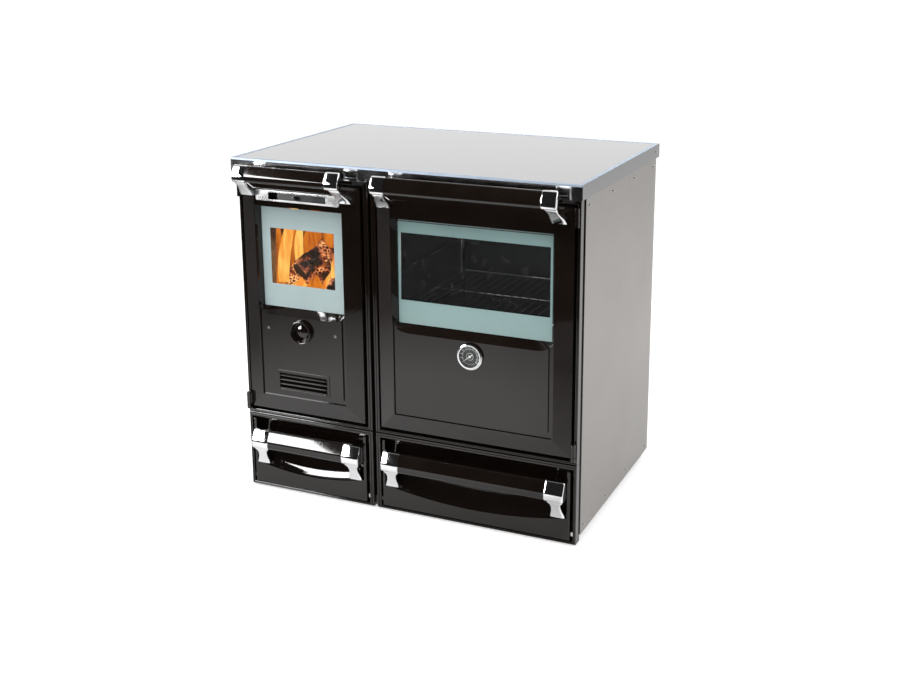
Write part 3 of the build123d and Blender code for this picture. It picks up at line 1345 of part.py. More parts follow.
rack_x = grow(cavity_x, -rack_side_gap)
rack_height = cavity_z[0] + rack_rise
runner_pitch = (cavity_z[1] - top_runner_room - rack_height) / (runner_levels - 1)
rack_y = (cavity_y[0] + 24.0, cavity_y[0] + 24.0 + rack_depth)
with BuildPart() as oven_runners:
    for side in (0, 1):
        wall = cavity_x[side]
        out = 1 - 2 * side
        rail_x = wall + out * (runner_rod + slide_gap)
        for end_y in (rack_y[0] + 10.0, rack_y[1] - 10.0):
            pin((rail_x, end_y, rack_height - 2 * runner_rod), (rail_x, end_y, rack_height - 2 * runner_rod
                + runner_pitch * (runner_levels - 1)), runner_rod)
            for level in (0, runner_levels - 1):
                stud_z = rack_height - 2 * runner_rod + runner_pitch * level
                pin((wall, end_y, stud_z), (rail_x, end_y, stud_z), runner_rod - 0.5)
        for level in range(runner_levels):
            rail_z = rack_height - rack_rod - runner_rod - slide_gap + runner_pitch * level
            reach = rail_x + out * 3 * runner_rod
            block(sorted((rail_x, reach)), grow(rack_y, -4.0), (rail_z - 1.5, rail_z + runner_rod))
oven_runners.part.label = "oven_runners"
export_step(oven_runners.part, "parts/oven_runners.step")

rod_x = grow(rack_x, -rack_rod)
with BuildPart() as oven_rack:
    for side_x in rod_x:
        pin((side_x, rack_y[0], rack_height), (side_x, rack_y[1], rack_height), rack_rod)
    for end_y in rack_y:
        pin((rod_x[0], end_y, rack_height), (rod_x[1], end_y, rack_height), rack_rod)
        with Locations(*((side_x, end_y, rack_height) for side_x in rod_x)):
            Sphere(rack_rod)
    pitch = width(rod_x) / (rack_wires + 1)
    for wire in range(rack_wires):
        wire_x = rod_x[0] + pitch * (wire + 1)
        pin((wire_x, rack_y[0], rack_height + 0.6), (wire_x, rack_y[1], rack_height + 0.6), rack_wire)
    pin((rod_x[0], middle(rack_y), rack_height - 0.8), (rod_x[1], middle(rack_y), rack_height - 0.8),
        rack_wire)
oven_rack.part.label = "oven_rack"
export_step(oven_rack.part, "parts/oven_rack.step")

# ---------------------------------------------------------------- smoke path, back panel and flue
duct_front = inside + middle_post_width + post_clearance
duct_y = grow(outlet_y, duct_lap)
duct_z = (cavity_z[1] + oven_wall, plate_z[1] - duct_drop)
duct_x = (shell_x[1], carcass_x[1] - rail_flange)
chamber_y = (cavity_y[1] + oven_wall + duct_wall, back_plane)
flue_height = duct_z[1] - flue_drop
chamber_x = about(oven_centre, duct_chamber_width)
chamber_z = (flue_height - duct_chamber_width / 2, duct_z[0])
with BuildPart() as smoke_duct:
    block((middle_post_x[0], duct_x[1]), (duct_front, chamber_y[1]), duct_z)
    block((shell_x[1], middle_post_x[0]), duct_y, duct_z)
    block((shell_x[1], duct_x[1] - duct_wall), grow(duct_y, -duct_wall), grow(duct_z, -duct_wall),
          Mode.SUBTRACT)
    block((middle_post_x[0] + duct_wall, duct_x[1] - duct_wall),
          (duct_front + duct_wall, chamber_y[1] - duct_wall),
          grow(duct_z, -duct_wall), Mode.SUBTRACT)
    block(grow(chamber_x, -duct_wall), grow(chamber_y, -duct_wall), (duct_z[0], duct_z[0] + duct_wall),
          Mode.SUBTRACT)
    pin((oven_centre, chamber_y[1] - duct_wall, flue_height), (oven_centre, chamber_y[1], flue_height),
        flue_radius + flue_sheet_gap, Mode.SUBTRACT)
smoke_duct.part.label = "smoke_duct"
export_step(smoke_duct.part, "parts/smoke_duct.step")

with BuildPart() as flue_chamber:
    block(chamber_x, chamber_y, chamber_z)
    block(grow(chamber_x, -duct_wall), grow(chamber_y, -duct_wall), (chamber_z[0] + duct_wall, chamber_z[1]),
          Mode.SUBTRACT)
    pin((oven_centre, chamber_y[1] - duct_wall, flue_height), (oven_centre, chamber_y[1], flue_height),
        flue_radius + flue_sheet_gap, Mode.SUBTRACT)
flue_chamber.part.label = "flue_chamber"
export_step(flue_chamber.part, "parts/flue_chamber.step")

back_x = about(0, 2 * (carcass_half - angle_wall) - 1.0)
back_z = (carcass_floor + angle_wall + 1.0, body_top - angle_wall - 1.0)
with BuildPart() as back_panel:
    block(back_x, (back_plane, back_plane + panel_thickness), back_z)
    pin((oven_centre, back_plane, flue_height), (oven_centre, back_plane + panel_thickness, flue_height),
        flue_radius + flue_sheet_gap, Mode.SUBTRACT)
back_panel.part.label = "back_panel"
export_step(back_panel.part, "parts/back_panel.step")

collar_y = (back_plane + panel_thickness, back_plane + panel_thickness + flue_length)
with BuildPart() as flue_collar:
    pin((oven_centre, collar_y[0], flue_height), (oven_centre, collar_y[0] + flue_wall, flue_height),
        flue_radius + flue_wall + flue_flange)
    pin((oven_centre, collar_y[0], flue_height), (oven_centre, collar_y[1], flue_height),
        flue_radius + flue_wall)
    pin((oven_centre, collar_y[0], flue_height), (oven_centre, collar_y[1], flue_height), flue_radius,
        Mode.SUBTRACT)
flue_collar.part.label = "flue_collar"
export_step(flue_collar.part, "parts/flue_collar.step")
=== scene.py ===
"""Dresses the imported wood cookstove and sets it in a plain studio.

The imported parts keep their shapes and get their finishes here. New pieces are the printed borders of the two
door panes, the marks of the oven thermometer's dial, the fire on the grate, and the rounded handles that
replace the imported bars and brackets. Lengths are in metres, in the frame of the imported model: +Z up, the
doors face -Y, the origin on the floor.
"""

import logging
import math
import random
from collections.abc import Sequence
from dataclasses import dataclass
from enum import Enum
from functools import cache

import bmesh
import bpy
from mathutils import Matrix, Vector, noise


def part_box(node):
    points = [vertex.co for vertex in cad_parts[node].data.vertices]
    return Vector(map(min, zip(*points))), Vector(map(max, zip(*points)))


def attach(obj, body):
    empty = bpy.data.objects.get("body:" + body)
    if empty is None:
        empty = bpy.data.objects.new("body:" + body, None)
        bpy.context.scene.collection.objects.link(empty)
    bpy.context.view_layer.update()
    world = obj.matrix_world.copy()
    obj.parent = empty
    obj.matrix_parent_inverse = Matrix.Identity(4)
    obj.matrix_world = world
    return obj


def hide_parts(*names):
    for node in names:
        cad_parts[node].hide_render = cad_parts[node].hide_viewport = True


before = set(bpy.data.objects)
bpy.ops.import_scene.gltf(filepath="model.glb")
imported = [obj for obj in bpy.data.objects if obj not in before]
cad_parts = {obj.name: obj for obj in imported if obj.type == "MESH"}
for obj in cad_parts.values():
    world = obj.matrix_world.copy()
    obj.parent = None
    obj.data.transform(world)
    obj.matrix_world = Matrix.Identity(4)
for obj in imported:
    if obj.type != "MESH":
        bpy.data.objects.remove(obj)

log = logging.getLogger("cookstove")
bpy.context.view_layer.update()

Colour = tuple[float, float, float]
Point = tuple[float, float, float]
Span = tuple[float, float]
Noise = tuple[float, ...]  # scale, detail, roughness and, where there is any, distortion
Level = tuple[float, float, float, float]
Inputs = dict[str, object]
Material = bpy.types.Material
Socket = bpy.types.NodeSocket
Mesh, Vert, Edge = bmesh.types.BMesh, bmesh.types.BMVert, bmesh.types.BMEdge
WHITE: Colour = (1.0, 1.0, 1.0)


class Graph:
    """A node tree, with short calls for the nodes that the finishes and the surround share."""

    def __init__(self, owner: Material | bpy.types.World) -> None:
        """Start on the nodes of a material or of the world."""
        owner.use_nodes = True
        self.tree = owner.node_tree

    def node(self, kind: str, inputs: dict | None = None, **settings: object) -> bpy.types.Node:
        """Add a node.

        Args:
            kind: Blender's name of the node type.
            inputs: Values or sockets for its inputs, by input name or index.
            settings: Properties of the node itself.

        Returns:
            The new node.
        """
        made = self.tree.nodes.new(kind)
        for key, value in settings.items():
            setattr(made, key, value)
        for key, value in (inputs or {}).items():
            self.feed(made.inputs[key], value)
        return made

    def feed(self, socket: Socket, value: object) -> None:
        """Link a socket to another one, or give it a plain value."""
        if isinstance(value, Socket):
            self.tree.links.new(value, socket)
        elif isinstance(value, tuple) and socket.type == "RGBA" and len(value) == 3:
            socket.default_value = (*value, 1.0)
        else:
            socket.default_value = value

    def place(self, stretch: Point = (1.0, 1.0, 1.0), centre: Point = (0.0, 0.0, 0.0)) -> Socket:
        """Object coordinates measured from a centre and stretched along the axes."""
        coordinates = self.node("ShaderNodeTexCoord").outputs["Object"]
        shifted = self.node("ShaderNodeMapping", {0: coordinates, "Location": tuple(-c for c in centre)})
        return self.node("ShaderNodeMapping", {0: shifted.outputs[0], "Scale": stretch}).outputs[0]

    def split(self, where: Socket) -> bpy.types.bpy_prop_collection:
        """The three coordinates of a place, by the name of their axis."""
        return self.node("ShaderNodeSeparateXYZ", {0: where}).outputs

    def noise(self, where: Socket, scale: float, detail: float, roughness: float,
              distortion: float = 0.0) -> Socket:
        """Cloudy noise from 0 to 1."""
        return self.node("ShaderNodeTexNoise", {"Vector": where, "Scale": scale, "Detail": detail,
                         "Roughness": roughness, "Distortion": distortion}).outputs["Fac"]

    def cells(self, where: Socket, scale: float, feature: str = "F1") -> Socket:
        """Voronoi cells: the distance to their centres, or to another of their features."""
        return self.node("ShaderNodeTexVoronoi", {"Vector": where, "Scale": scale},
                         feature=feature).outputs["Distance"]

    def spread(self, value: Socket, low: float, high: float, start: float = 0.0, end: float = 1.0) -> Socket:
        """Map start..end to low..high, held at the ends."""
        return self.node("ShaderNodeMapRange", {"Value": value, "From Min": start, "From Max": end,
                         "To Min": low, "To Max": high}).outputs["Result"]

    def mix(self, share: object, first: object, second: object) -> Socket:
        """Colour between two colours."""
        return self.node("ShaderNodeMix", {0: share, 6: first, 7: second}, data_type="RGBA").outputs[2]

    def shades(self, share: object, colour: Colour, contrast: Span) -> Socket:
        """Colour between two shades of one colour."""
        return self.mix(share, *(tuple(factor * c for c in colour) for factor in contrast))

    def math(self, operation: str, first: object, second: object = 0.0) -> Socket:
        """One sum on numbers."""
        return self.node("ShaderNodeMath", {0: first, 1: second}, operation=operation).outputs[0]

    def times(self, first: object, second: object) -> Socket:
        """Product of two numbers."""
        return self.math("MULTIPLY", first, second)

    def bump(self, height: Socket, distance: float) -> Socket:
        """Surface direction from a height, whose full range is distance metres deep."""
        return self.node("ShaderNodeBump", {"Height": height, "Distance": distance}).outputs[0]


# -------------------- finishes
@dataclass(frozen=True)
class Finish:
    """A named material; each kind of finish says what feeds its surface."""

    name: str

    @cache
    def build(self) -> Material:
        """Make the material, once for each finish."""
        material = bpy.data.materials.new(self.name)
        graph = Graph(material)
        inputs = self.inputs(graph, graph.place())
        if "tone" in inputs:
            inputs["Base Color"] = graph.shades(inputs.pop("tone"), self.colour, self.contrast)
        surface = graph.tree.nodes["Principled BSDF"]
        for key, value in inputs.items():
            graph.feed(surface.inputs[key], value)
        return material

    def inputs(self, graph: Graph, where: Socket) -> Inputs:
        """Say what feeds the principled surface.

        Args:
            graph: The material's nodes.
            where: Object coordinates.

        Returns:
            Values or sockets by input name. A "tone" stands for the base colour, as a share between two
            shades of the finish's own colour.
        """
        raise NotImplementedError


@dataclass(frozen=True)
class Enamel(Finish):
    """Glossy vitreous enamel with the faint orange peel of a fired coat."""

    colour: Colour = (0.0078, 0.0052, 0.0040)
    peel: float = 0.00004
    peel_scale: float = 140.0
    roughness: Span = (0.035, 0.085)
    contrast: Span = (1.0, 1.7)
    clouds: Noise = (9.0, 4.0, 0.6)
    cloud_edges: Span = (0.3, 0.7)

    def inputs(self, graph: Graph, where: Socket) -> Inputs:
        """Faint clouds in colour and gloss, and a peel in the skin."""
        clouds = graph.noise(where, *self.clouds)
        skin = graph.noise(where, self.peel_scale, 2.0, 0.4)
        return {"tone": graph.spread(clouds, 0.0, 1.0, *self.cloud_edges),
                "Roughness": graph.spread(clouds, *self.roughness, *self.cloud_edges),
                "Normal": graph.bump(skin, self.peel), "Coat Weight": 0.25, "Coat Roughness": 0.03,
                "IOR": 1.45}


class Grain(Enum):
    """Way that a sheet's brushing runs."""

    ALONG_X = (1.0, 60.0, 60.0)
    ALONG_Z = (60.0, 60.0, 1.0)


@dataclass(frozen=True)
class BrushedSheet(Finish):
    """Bare steel sheet with fine brushing one way and soft cloudy stains."""

    grain: Grain
    colour: Colour
    roughness: Span
    contrast: Span = (0.82, 1.12)
    groove: float = 0.000012
    streaks: Noise = (7.0, 5.0, 0.65)
    stains: Noise = (5.0, 4.0, 0.6)
    specks: Noise = (420.0, 2.0, 0.7)

    def inputs(self, graph: Graph, where: Socket) -> Inputs:
        """Streaks and specks in the colour, stains and streaks in the gloss."""
        streaks = graph.noise(graph.place(self.grain.value), *self.streaks)
        stains = graph.spread(graph.noise(where, *self.stains), *self.roughness, 0.25, 0.75)
        specks = graph.spread(graph.noise(where, *self.specks), 0.0, 0.5, 0.2, 0.8)
        return {"tone": graph.math("ADD", graph.spread(streaks, 0.0, 0.5), specks), "Metallic": 1.0,
                "Roughness": graph.math("ADD", stains, graph.spread(streaks, 0.0, 0.06)),
                "Normal": graph.bump(streaks, self.groove)}


@dataclass(frozen=True)
class BrightMetal(Finish):
    """Plated or polished metal with faint smears and wear."""

    colour: Colour = (0.86, 0.86, 0.87)
    roughness: Span = (0.03, 0.10)
    contrast: Span = (1.0, 0.86)
    ripple: float = 0.00002
    smears: Noise = (22.0, 4.0, 0.55, 0.4)
    stretch: Point = (1.0, 1.0, 2.5)

    def inputs(self, graph: Graph, where: Socket) -> Inputs:
        """Smears in the colour, the gloss and the skin."""
        smears = graph.noise(graph.place(self.stretch), *self.smears)
        return {"tone": smears, "Metallic": 1.0,
                "Roughness": graph.spread(smears, *self.roughness, 0.35, 0.75),
                "Normal": graph.bump(smears, self.ripple)}


@dataclass(frozen=True)
class PolishedTrim(BrightMetal):
    """Bright metal with duller ends and a pale satin line along its upper edge."""

    end_from: float = 0.4446  # distance from the middle, along x, past which it is an end
    end_shade: float = 0.30
    line_from: float = 0.8455  # height past which it is the line
    line_colour: Colour = (0.36, 0.42, 0.50)
    line_roughness: float = 0.55

    def inputs(self, graph: Graph, where: Socket) -> Inputs:
        """The metal's own inputs, changed at the ends and along the line."""
        made = super().inputs(graph, where)
        split = graph.split(where)
        end = graph.math("GREATER_THAN", graph.math("ABSOLUTE", split["X"]), self.end_from)
        line = graph.times(graph.math("GREATER_THAN", split["Z"], self.line_from),
                          graph.math("SUBTRACT", 1.0, end))
        tint = graph.mix(end, graph.shades(made.pop("tone"), self.colour, self.contrast),
                         tuple(self.end_shade * c for c in self.colour))
        made["Base Color"] = graph.mix(line, tint, self.line_colour)
        made["Roughness"] = graph.math("ADD", made["Roughness"],
                                       graph.times(line, self.line_roughness))
        return made


@dataclass(frozen=True)
class Casting(Finish):
    """Rough dark casting or heat-proof paint over steel."""

    colour: Colour
    roughness: Span = (0.5, 0.75)
    metallic: float = 0.0
    grain: float = 0.00012
    scale: float = 520.0
    contrast: Span = (0.7, 1.35)
    clouds: Noise = (14.0, 5.0, 0.6)

    def inputs(self, graph: Graph, where: Socket) -> Inputs:
        """Clouds in the colour and the gloss, pits in the skin."""
        clouds = graph.noise(where, *self.clouds)
        pits = graph.noise(where, self.scale, 3.0, 0.6)
        return {"tone": clouds, "Metallic": self.metallic,
                "Roughness": graph.spread(clouds, *self.roughness), "Normal": graph.bump(pits, self.grain)}


@dataclass(frozen=True)
class ZincSheet(Finish):
    """Zinc-coated sheet with its crystal spangle."""

    colour: Colour = (0.50, 0.51, 0.53)
    contrast: Span = (0.85, 1.0)
    spangle: float = 70.0
    spangle_edges: Span = (0.1, 0.8)
    roughness: Span = (0.28, 0.42)
    clouds: Noise = (12.0, 4.0, 0.6)
    swell: float = 0.00005

    def inputs(self, graph: Graph, where: Socket) -> Inputs:
        """Crystals in the colour and the gloss, clouds in the gloss and the skin."""
        crystals = graph.cells(where, self.spangle)
        clouds = graph.noise(where, *self.clouds)
        rough = graph.spread(crystals, *self.roughness, *self.spangle_edges)
        return {"tone": graph.spread(crystals, 0.0, 1.0, *self.spangle_edges), "Metallic": 0.9,
                "Roughness": graph.math("ADD", rough, graph.spread(clouds, 0.0, 0.1)),
                "Normal": graph.bump(clouds, self.swell)}


@dataclass(frozen=True)
class Firebrick(Finish):
    """Pale sooty firebrick with open pores."""

    clay: Colour = (0.52, 0.40, 0.27)
    soot: Colour = (0.05, 0.04, 0.035)
    soot_height: Span = (0.48, 0.72)
    soot_rise: Span = (0.25, 0.85)
    soot_edges: Span = (0.75, 1.25)
    clouds: Noise = (16.0, 5.0, 0.65)
    pores: Noise = (260.0, 4.0, 0.7)
    pore_depth: float = 0.0006

    def inputs(self, graph: Graph, where: Socket) -> Inputs:
        """Soot that thickens upwards in clouds, over porous clay."""
        clouds = graph.noise(where, *self.clouds)
        rise = graph.spread(graph.split(where)["Z"], *self.soot_rise, *self.soot_height)
        soot = graph.spread(graph.math("ADD", clouds, rise), 0.0, 1.0, *self.soot_edges)
        pores = graph.noise(where, *self.pores)
        return {"Base Color": graph.mix(soot, self.clay, self.soot),
                "Roughness": graph.spread(pores, 0.8, 0.95), "Normal": graph.bump(pores, self.pore_depth)}


@dataclass(frozen=True)
class RopeWeave(Finish):
    """Braided glass-fibre rope: slanting strands crossed by a finer twist."""

    colour: Colour = (0.30, 0.29, 0.27)
    contrast: Span = (0.5, 1.3)
    strand: float = 0.004
    strand_depth: float = 0.0009
    fuzz: Noise = (900.0, 3.0, 0.7)

    def inputs(self, graph: Graph, where: Socket) -> Inputs:
        """Two crossing waves with fuzz on them."""
        split = graph.split(where)
        turns = 2 * math.pi / self.strand
        waves = [graph.math("SINE", graph.times(graph.math(way, split["X"], split["Z"]), turns))
                 for way in ("ADD", "SUBTRACT")]
        weave = graph.spread(graph.math("MAXIMUM", *waves), 0.0, 0.8, -1.0, 1.0)
        height = graph.math("ADD", weave, graph.spread(graph.noise(where, *self.fuzz), 0.0, 0.2))
        return {"tone": height, "Roughness": 0.95, "Normal": graph.bump(height, self.strand_depth),
                "Sheen Weight": 0.3}


@dataclass(frozen=True)
class TopGlass(Finish):
    """Glass-ceramic cooking surface: dark body under a highly reflecting skin."""

    colour: Colour = (0.13, 0.125, 0.145)
    contrast: Span = (1.0, 0.85)
    dots: float = 260.0
    haze: Noise = (6.0, 4.0, 0.6)
    roughness: Span = (0.05, 0.10)

    def inputs(self, graph: Graph, where: Socket) -> Inputs:
        """Fine dots in the body, haze in the gloss, and a clear coat."""
        dots = graph.spread(graph.cells(where, self.dots), 1.0, 0.0, 0.1, 0.35)
        return {"tone": dots, "Metallic": 0.35, "IOR": 1.55,
                "Roughness": graph.spread(graph.noise(where, *self.haze), *self.roughness),
                "Coat Weight": 1.0, "Coat Roughness": 0.03, "Coat IOR": 1.52}


@dataclass(frozen=True)
class ClearGlass(Finish):
    """Clear pane with a trace of dust, its surface made to mirror little."""

    colour: Colour = (0.97, 0.99, 0.98)
    contrast: Span = (1.0, 0.94)
    dust: Noise = (18.0, 5.0, 0.6)

    def inputs(self, graph: Graph, where: Socket) -> Inputs:
        """Dust in the colour and the gloss."""
        dust = graph.noise(where, *self.dust)
        return {"tone": dust, "Transmission Weight": 1.0, "IOR": 1.25,
                "Roughness": graph.spread(dust, 0.0, 0.02, 0.5, 0.9)}


@dataclass(frozen=True)
class PrintedBorder(Finish):
    """Pale enamel print that frames a pane's clear window."""

    colour: Colour
    contrast: Span = (1.0, 0.9)
    clouds: Noise = (7.0, 3.0, 0.5)
    grain: Noise = (1200.0, 2.0, 0.6)
    grain_depth: float = 0.000004

    def inputs(self, graph: Graph, where: Socket) -> Inputs:
        """Clouds in the colour, grain in the gloss and the skin, under a thin coat."""
        clouds = graph.spread(graph.noise(where, *self.clouds), 0.0, 1.0, 0.3, 0.7)
        grain = graph.noise(where, *self.grain)
        return {"tone": clouds, "Roughness": graph.spread(grain, 0.06, 0.12), "Coat Weight": 0.8,
                "Coat Roughness": 0.02, "Normal": graph.bump(grain, self.grain_depth)}


@dataclass(frozen=True)
class Paint(Finish):
    """Thin satin paint, as on a dial and its marks."""

    colour: Colour
    contrast: Span = (0.88, 1.0)
    roughness: Span = (0.35, 0.48)
    mottle: Noise = (300.0, 3.0, 0.6)

    def inputs(self, graph: Graph, where: Socket) -> Inputs:
        """Mottle in the colour and the gloss."""
        mottle = graph.noise(where, *self.mottle)
        return {"tone": mottle, "Roughness": graph.spread(mottle, *self.roughness)}


@dataclass(frozen=True)
class Char(Finish):
    """Burnt wood or coal: black scales with glowing cracks between them."""

    crack_scale: float
    glow: float
    glow_share: Span = (0.42, 0.62)
    crack_width: float = 0.22
    crack_depth: float = 0.004
    patches: Noise = (22.0, 3.0, 0.6)
    scales: tuple[Colour, Colour] = ((0.012, 0.009, 0.008), (0.085, 0.045, 0.03))
    heat: tuple[Colour, Colour] = ((0.9, 0.09, 0.01), (1.0, 0.55, 0.2))

    def inputs(self, graph: Graph, where: Socket) -> Inputs:
        """Cracks that glow where the patches are hot."""
        edge = graph.cells(where, self.crack_scale, "DISTANCE_TO_EDGE")
        patches = graph.noise(where, *self.patches)
        crack = graph.spread(edge, 1.0, 0.0, 0.0, self.crack_width)
        heat = graph.times(crack, graph.spread(patches, 0.0, 1.0, *self.glow_share))
        return {"Base Color": graph.mix(patches, *self.scales), "Roughness": graph.spread(patches, 0.55, 0.9),
                "Normal": graph.bump(edge, self.crack_depth), "Emission Color": graph.mix(heat, *self.heat),
                "Emission Strength": graph.times(heat, self.glow)}


@dataclass(frozen=True)
class Flame(Finish):
    """Glowing flame: streaks that run up it, from the colour of its rim to that of its core."""

    core: Colour
    rim: Colour
    glow: float
    cover: Span
    stretch: Point = (1.0, 1.0, 0.16)
    streaks: Noise = (42.0, 4.0, 0.55, 0.6)

    def inputs(self, graph: Graph, where: Socket) -> Inputs:
        """Streaks in the glow and in how much it covers."""
        streaks = graph.noise(graph.place(self.stretch), *self.streaks)
        tint = graph.mix(graph.spread(streaks, 0.0, 1.0, 0.36, 0.64), self.rim, self.core)
        return {"Base Color": (0.0, 0.0, 0.0), "Roughness": 1.0, "Specular IOR Level": 0.0,
                "Emission Color": tint, "Emission Strength": self.glow,
                "Alpha": graph.spread(streaks, *self.cover, 0.3, 0.55)}


@dataclass(frozen=True)
class StudioFloor(Finish):
    """Pale matt floor that looks white to the eye, and to mirrors inside a painted pool of light with painted
    shade round it; it lights nothing by itself.
    """

    colour: Colour = (0.80, 0.80, 0.80)
    contrast: Span = (1.0, 0.985)
    clouds: Noise = (1.2, 3.0, 0.5)
    # painted shade: the floor's colour in mirrors outside the painted pool of light
    painted_shade_colour: Colour = (0.10, 0.10, 0.10)
    glow: float = 0.55
    painted_pool_middle: Point = (-0.32, -0.85, 0.0)  # painted pool of light that the stove's face mirrors; outside it, mirrors show painted shade
    painted_pool_edge: Span = (0.35, 1.25)
    painted_pool_dim: Span = (0.0, 0.85)
    beside_x: Span = (0.38, 0.46)  # where the painted shade in the mirrored floor lifts again beside the stove
    beside_y: Span = (-0.90, -0.40)
    beside_share: float = 0.75
    shade_middle: float = 0.06  # middle along y of the shade under the stove, which never glows
    shade_half: Span = (0.42, 0.25)

    def inputs(self, graph: Graph, where: Socket) -> Inputs:
        """A glow seen by the eye and by mirrors; for mirrors, painted shade in the colour and the glow outside
        the painted pool of light.
        """
        path = graph.node("ShaderNodeLightPath").outputs
        painted_pool_distance = graph.node("ShaderNodeVectorMath", {0: graph.place(centre=self.painted_pool_middle)},
                          operation="LENGTH").outputs["Value"]
        split = graph.split(where)
        beside = graph.times(graph.spread(split["X"], 0.0, self.beside_share, *self.beside_x),
                            graph.spread(split["Y"], 0.0, 1.0, *self.beside_y))
        # painted shade for mirrors: darker away from the painted pool of light, less so beside the stove
        dark = graph.times(graph.spread(painted_pool_distance, *self.painted_pool_dim, *self.painted_pool_edge),
                          graph.math("SUBTRACT", 1.0, beside))
        dim = graph.times(path["Is Glossy Ray"], dark)
        seen = graph.math("MAXIMUM", graph.math("MAXIMUM", path["Is Camera Ray"], path["Is Glossy Ray"]),
                          path["Is Transmission Ray"])
        off_x = graph.math("ABSOLUTE", split["X"])
        off_y = graph.math("ABSOLUTE", graph.math("SUBTRACT", split["Y"], self.shade_middle))
        clear = graph.math("MAXIMUM", graph.math("GREATER_THAN", off_x, self.shade_half[0]),
                           graph.math("GREATER_THAN", off_y, self.shade_half[1]))
        glow = graph.times(graph.math("SUBTRACT", seen, dim), self.glow)
        tint = graph.shades(graph.noise(where, *self.clouds), self.colour, self.contrast)
        return {"Base Color": graph.mix(dim, tint, self.painted_shade_colour), "Roughness": 0.9, "Specular IOR Level": 0.0,
                "Emission Color": WHITE, "Emission Strength": graph.times(glow, clear)}


ENAMEL = Enamel("black_enamel")
CHROME = BrightMetal("chrome")
IRON = Casting("cast_iron", (0.035, 0.033, 0.031), metallic=0.2)
LINER = Casting("liner_steel", (0.06, 0.06, 0.06), (0.35, 0.55))
ROPE = RopeWeave("rope_seal")
GLASS = ClearGlass("clear_glass")


# -------------------- helpers for the pieces
def dress(finish: Finish, *nodes: str) -> None:
    """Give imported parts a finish."""
    for name in nodes:
        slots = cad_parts[name].data.materials
        slots.clear()
        slots.append(finish.build())
        log.info("dressed %s with %s", name, finish.name)


def piece(mesh: Mesh, name: str, body: str, slot: str, *finishes: Finish,
          smooth: bool = True) -> bpy.types.Object:
    """Turn a finished bmesh into a piece that rides on a body.

    Args:
        mesh: The shape, in place; it is freed.
        name: The piece's name.
        body: The body it moves with.
        slot: Not used.
        finishes: Its finishes, by the material index of its faces.
        smooth: Whether its faces are shaded smooth.

    Returns:
        The new object.
    """
    for face in mesh.faces:
        face.smooth = smooth
    data = bpy.data.meshes.new(name)
    mesh.to_mesh(data)
    mesh.free()
    made = bpy.data.objects.new(name, data)
    for finish in finishes:
        data.materials.append(finish.build())
    bpy.context.scene.collection.objects.link(made)
    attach(made, body)
    log.info("made %s on %s: %d faces", name, body, len(data.polygons))
    return made


def slab(mesh: Mesh, *limits: Span) -> list[Vert]:
    """Add a box between its limits along x, y and z, and return its corners."""
    low, high = (Vector(corner) for corner in zip(*limits))
    matrix = Matrix.Translation((low + high) / 2) @ Matrix.Diagonal((*(high - low), 1.0))
    return bmesh.ops.create_cube(mesh, size=1.0, matrix=matrix)["verts"]


def grow(mesh: Mesh, ring: list[Edge]) -> tuple[list[Vert], list[Edge]]:
    """Extrude a ring of edges and return its new corners and edges."""
    grown = bmesh.ops.extrude_edge_only(mesh, edges=ring)["geom"]
    verts = [item for item in grown if isinstance(item, Vert)]
    return verts, [item for item in grown if isinstance(item, Edge) and set(item.verts) <= set(verts)]


def edges_of(verts: Sequence[Vert]) -> list[Edge]:
    """Edges that meet in some corners, each once."""
    return list(dict.fromkeys(edge for vertex in verts for edge in vertex.link_edges))


# -------------------- the stove
@dataclass
class Body:
    """The fixed casing: front frames, side and back panels, angle frame, feet and screws."""

    side_colour: Colour = (0.33, 0.312, 0.295)

    def build(self) -> None:
        """Dress the casing."""
        dress(ENAMEL, "firebox_door_frame", "oven_door_frame", "left_drawer_frame",
              "right_drawer_frame", "hinge_brackets")
        dress(BrushedSheet("side_steel", Grain.ALONG_Z, self.side_colour, (0.31, 0.37)),
              "left_side_panel", "right_side_panel")
        dress(ZincSheet("zinc_sheet"), "back_panel", "drawer_runners", "smoke_duct", "flue_chamber",
              "ash_pan")
        dress(Casting("frame_steel", (0.03, 0.03, 0.03)), "carcass_posts", "carcass_rails",
              "firebox_casing")
        dress(Casting("feet", (0.04, 0.04, 0.04)), "levelling_feet")
        dress(BrightMetal("screws", (0.45, 0.45, 0.44), (0.18, 0.35)), "panel_screws")


@dataclass
class Worktop:
    """Polished trim round the glass cooking surface."""

    trim_colour: Colour = (0.74, 0.74, 0.745)

    def build(self) -> None:
        """Dress the worktop."""
        dress(PolishedTrim("polished_trim", self.trim_colour, (0.08, 0.18)), "worktop_frame")
        dress(TopGlass("worktop_glass"), "worktop_glass")


@dataclass
class PaneBorder:
    """Print on the pane of a door, round its clear window."""

    owner: str
    window_x: Span
    window_z: Span
    colour: Colour
    cover: float = 0.0078  # pane hidden behind the leaf, all round
    thickness: float = 0.0002
    inset: float = 0.01  # of the window's outline, before it is set to the window

    def build(self) -> None:
        """Make the print as a thin frame on the front of the pane."""
        low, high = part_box(f"{self.owner}_glass")
        front = low.y - self.thickness
        mesh = bmesh.new()
        corners = slab(mesh, (low.x + self.cover, high.x - self.cover), (front, low.y),
                       (low.z + self.cover, high.z - self.cover))
        across = [face for face in mesh.faces if abs(face.normal.y) > 0.5]
        bmesh.ops.inset_individual(mesh, faces=across, thickness=self.inset, use_even_offset=True)
        middle = (low + high) / 2
        for vertex in mesh.verts:
            if vertex not in corners:
                vertex.co.x = self.window_x[0] if vertex.co.x < middle.x else self.window_x[1]
                vertex.co.z = self.window_z[0] if vertex.co.z < middle.z else self.window_z[1]
        inner = [face for face in across if face.is_valid]
        rims = [edge for face in inner for edge in face.edges]
        bmesh.ops.delete(mesh, geom=inner, context="FACES_ONLY")
        bmesh.ops.bridge_loops(mesh, edges=rims)
        bmesh.ops.recalc_face_normals(mesh, faces=mesh.faces)
        name = f"{self.owner}_glass_border"
        piece(mesh, name, f"{self.owner}_door", "door_glass", PrintedBorder(name, self.colour),
              smooth=False)


